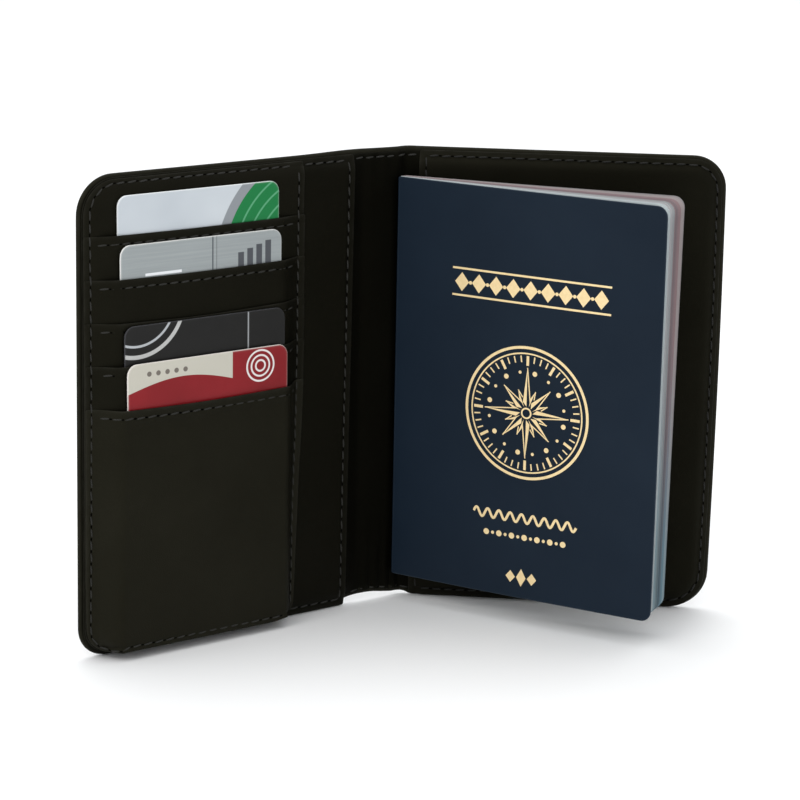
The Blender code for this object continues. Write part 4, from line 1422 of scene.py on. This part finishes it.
# rosette
CX, CZ = 45.3, 66.6
foil_ribbon(foil, *circle(CX, CZ, 20.1, 96), 0.85, closed=True)
foil_ribbon(foil, *circle(CX, CZ, 18.3, 96), 0.45, closed=True)
for k in range(48):
    g = 2 * math.pi * k / 48
    r0, r1 = (15.6, 17.6) if k % 4 else (14.6, 17.6)
    foil_ribbon(foil, CX + np.array([r0, r1]) * math.cos(g), CZ + np.array([r0, r1]) * math.sin(g), 0.42 if k % 4 else 0.85)
for k in range(16):
    g = 2 * math.pi * k / 16 + math.pi / 2
    reach = (14.1, 7.6, 11.0, 7.6)[k % 4]
    foot = 3.6 if k % 2 == 0 else 5.0
    wide = math.pi / 16 * (1.75 if k % 2 == 0 else 0.62)
    # one half of each ray is full, the other half is an outline
    foil_solid(foil, [CX + 2.1 * math.cos(g), CX + reach * math.cos(g), CX + foot * math.cos(g + wide)],
               [CZ + 2.1 * math.sin(g), CZ + reach * math.sin(g), CZ + foot * math.sin(g + wide)])
    foil_ribbon(foil, [CX + foot * math.cos(g - wide), CX + reach * math.cos(g) * 0.99],
                [CZ + foot * math.sin(g - wide), CZ + reach * math.sin(g) * 0.99], 0.34)
for k in range(16):
    g = 2 * math.pi * (k + 0.5) / 16
    foil_solid(foil, *circle(CX + 12.6 * math.cos(g), CZ + 12.6 * math.sin(g), 0.78 if k % 2 else 0.5, 12))
foil_ribbon(foil, *circle(CX, CZ, 1.5, 32), 0.5, closed=True)
# two small lines: a wave and a row of beads
wx = np.linspace(28.5, 63.0, 120)
foil_ribbon(foil, wx, 33.7 + 1.35 * np.sin((wx - 28.5) / 34.5 * 2 * math.pi * 9), 0.80)
for k in range(13):
    foil_solid(foil, *circle(33.0 + k * 2.15, 27.8, 0.95 if k % 2 == 0 else 0.52, 14))
# three small lozenges
for k in (-1, 0, 1):
    cx = 45.2 + 3.6 * k
    h = 2.8 if k == 0 else 1.9
    foil_solid(foil, [cx - 1.6, cx, cx + 1.6, cx], [15.0, 15.0 - h, 15.0, 15.0 + h])
obj = foil.make("booklet_foil_ornament", [FOIL], sharp=30.0)
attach(obj, "passport_front")


# ---------------------------------------------------------------- floor, light, camera
def floor_material():
    mat, tree, bsdf = nodes_of("floor")
    vec = coords(tree, False)
    f = noise(tree, vec, 3.0, 2.0)
    tree.links.new(mix_colour(tree, f, (0.945, 0.945, 0.945), (0.955, 0.955, 0.955)), bsdf.inputs["Base Color"])
    bsdf.inputs["Roughness"].default_value = 0.6
    bsdf.inputs["Specular IOR Level"].default_value = 0.2
    return mat


size = 6.0
mesh = bpy.data.meshes.new("floor")
mesh.from_pydata([(-size, -size, -0.00005), (size, -size, -0.00005), (size, size, -0.00005), (-size, size, -0.00005)], [], [(0, 1, 2, 3)])
mesh.materials.append(floor_material())
floor = bpy.data.objects.new("floor", mesh)
bpy.context.scene.collection.objects.link(floor)

world = bpy.data.worlds.new("studio")
bpy.context.scene.world = world
world.use_nodes = True
world.node_tree.nodes["Background"].inputs[0].default_value = (0.97, 0.985, 1.0, 1.0)
world.node_tree.nodes["Background"].inputs[1].default_value = 1.04


def area(name, at, to, size_x, size_y, watts, colour=(1, 1, 1)):
    data = bpy.data.lights.new(name, "AREA")
    data.shape = "RECTANGLE"
    data.size, data.size_y = size_x, size_y
    data.energy = watts
    data.color = colour
    obj_ = bpy.data.objects.new(name, data)
    bpy.context.scene.collection.objects.link(obj_)
    z_axis = (np.array(at) - np.array(to)) / np.linalg.norm(np.array(at) - np.array(to))
    x_axis = np.cross((0, 0, 1), z_axis)
    x_axis /= np.linalg.norm(x_axis)
    y_axis = np.cross(z_axis, x_axis)
    m = np.eye(4)
    m[:3, 0], m[:3, 1], m[:3, 2], m[:3, 3] = x_axis, y_axis, z_axis, at
    obj_.matrix_world = Matrix(m.tolist())
    return obj_


area("key", (-0.70, -0.95, 1.10), (0.0, 0.0, 0.07), 0.7, 0.7, 5.0, (1.0, 0.985, 0.955))
area("top", (0.0, 0.35, 1.30), (0.0, 0.01, 0.1), 1.0, 0.8, 5.0)

E, ROLL = 0.2527, 0.0192
fw = np.array([0.0, math.cos(E), -math.sin(E)])
right0, up0 = np.array([1.0, 0.0, 0.0]), np.array([0.0, math.sin(E), math.cos(E)])
rt = math.cos(ROLL) * right0 + math.sin(ROLL) * up0
up = -math.sin(ROLL) * right0 + math.cos(ROLL) * up0
cam_data = bpy.data.cameras.new("camera")
cam_data.sensor_width = 36.0
cam_data.lens = 36.0 * 2718.9 / 800.0
cam = bpy.data.objects.new("camera", cam_data)
bpy.context.scene.collection.objects.link(cam)
m = np.eye(4)
m[:3, 0], m[:3, 1], m[:3, 2] = rt, up, -fw
m[:3, 3] = np.array([-2.13, -776.64, 272.60]) * MM
cam.matrix_world = Matrix(m.tolist())
bpy.context.scene.camera = cam
bpy.context.scene.view_settings.view_transform = "Standard"

bpy.context.view_layer.update()
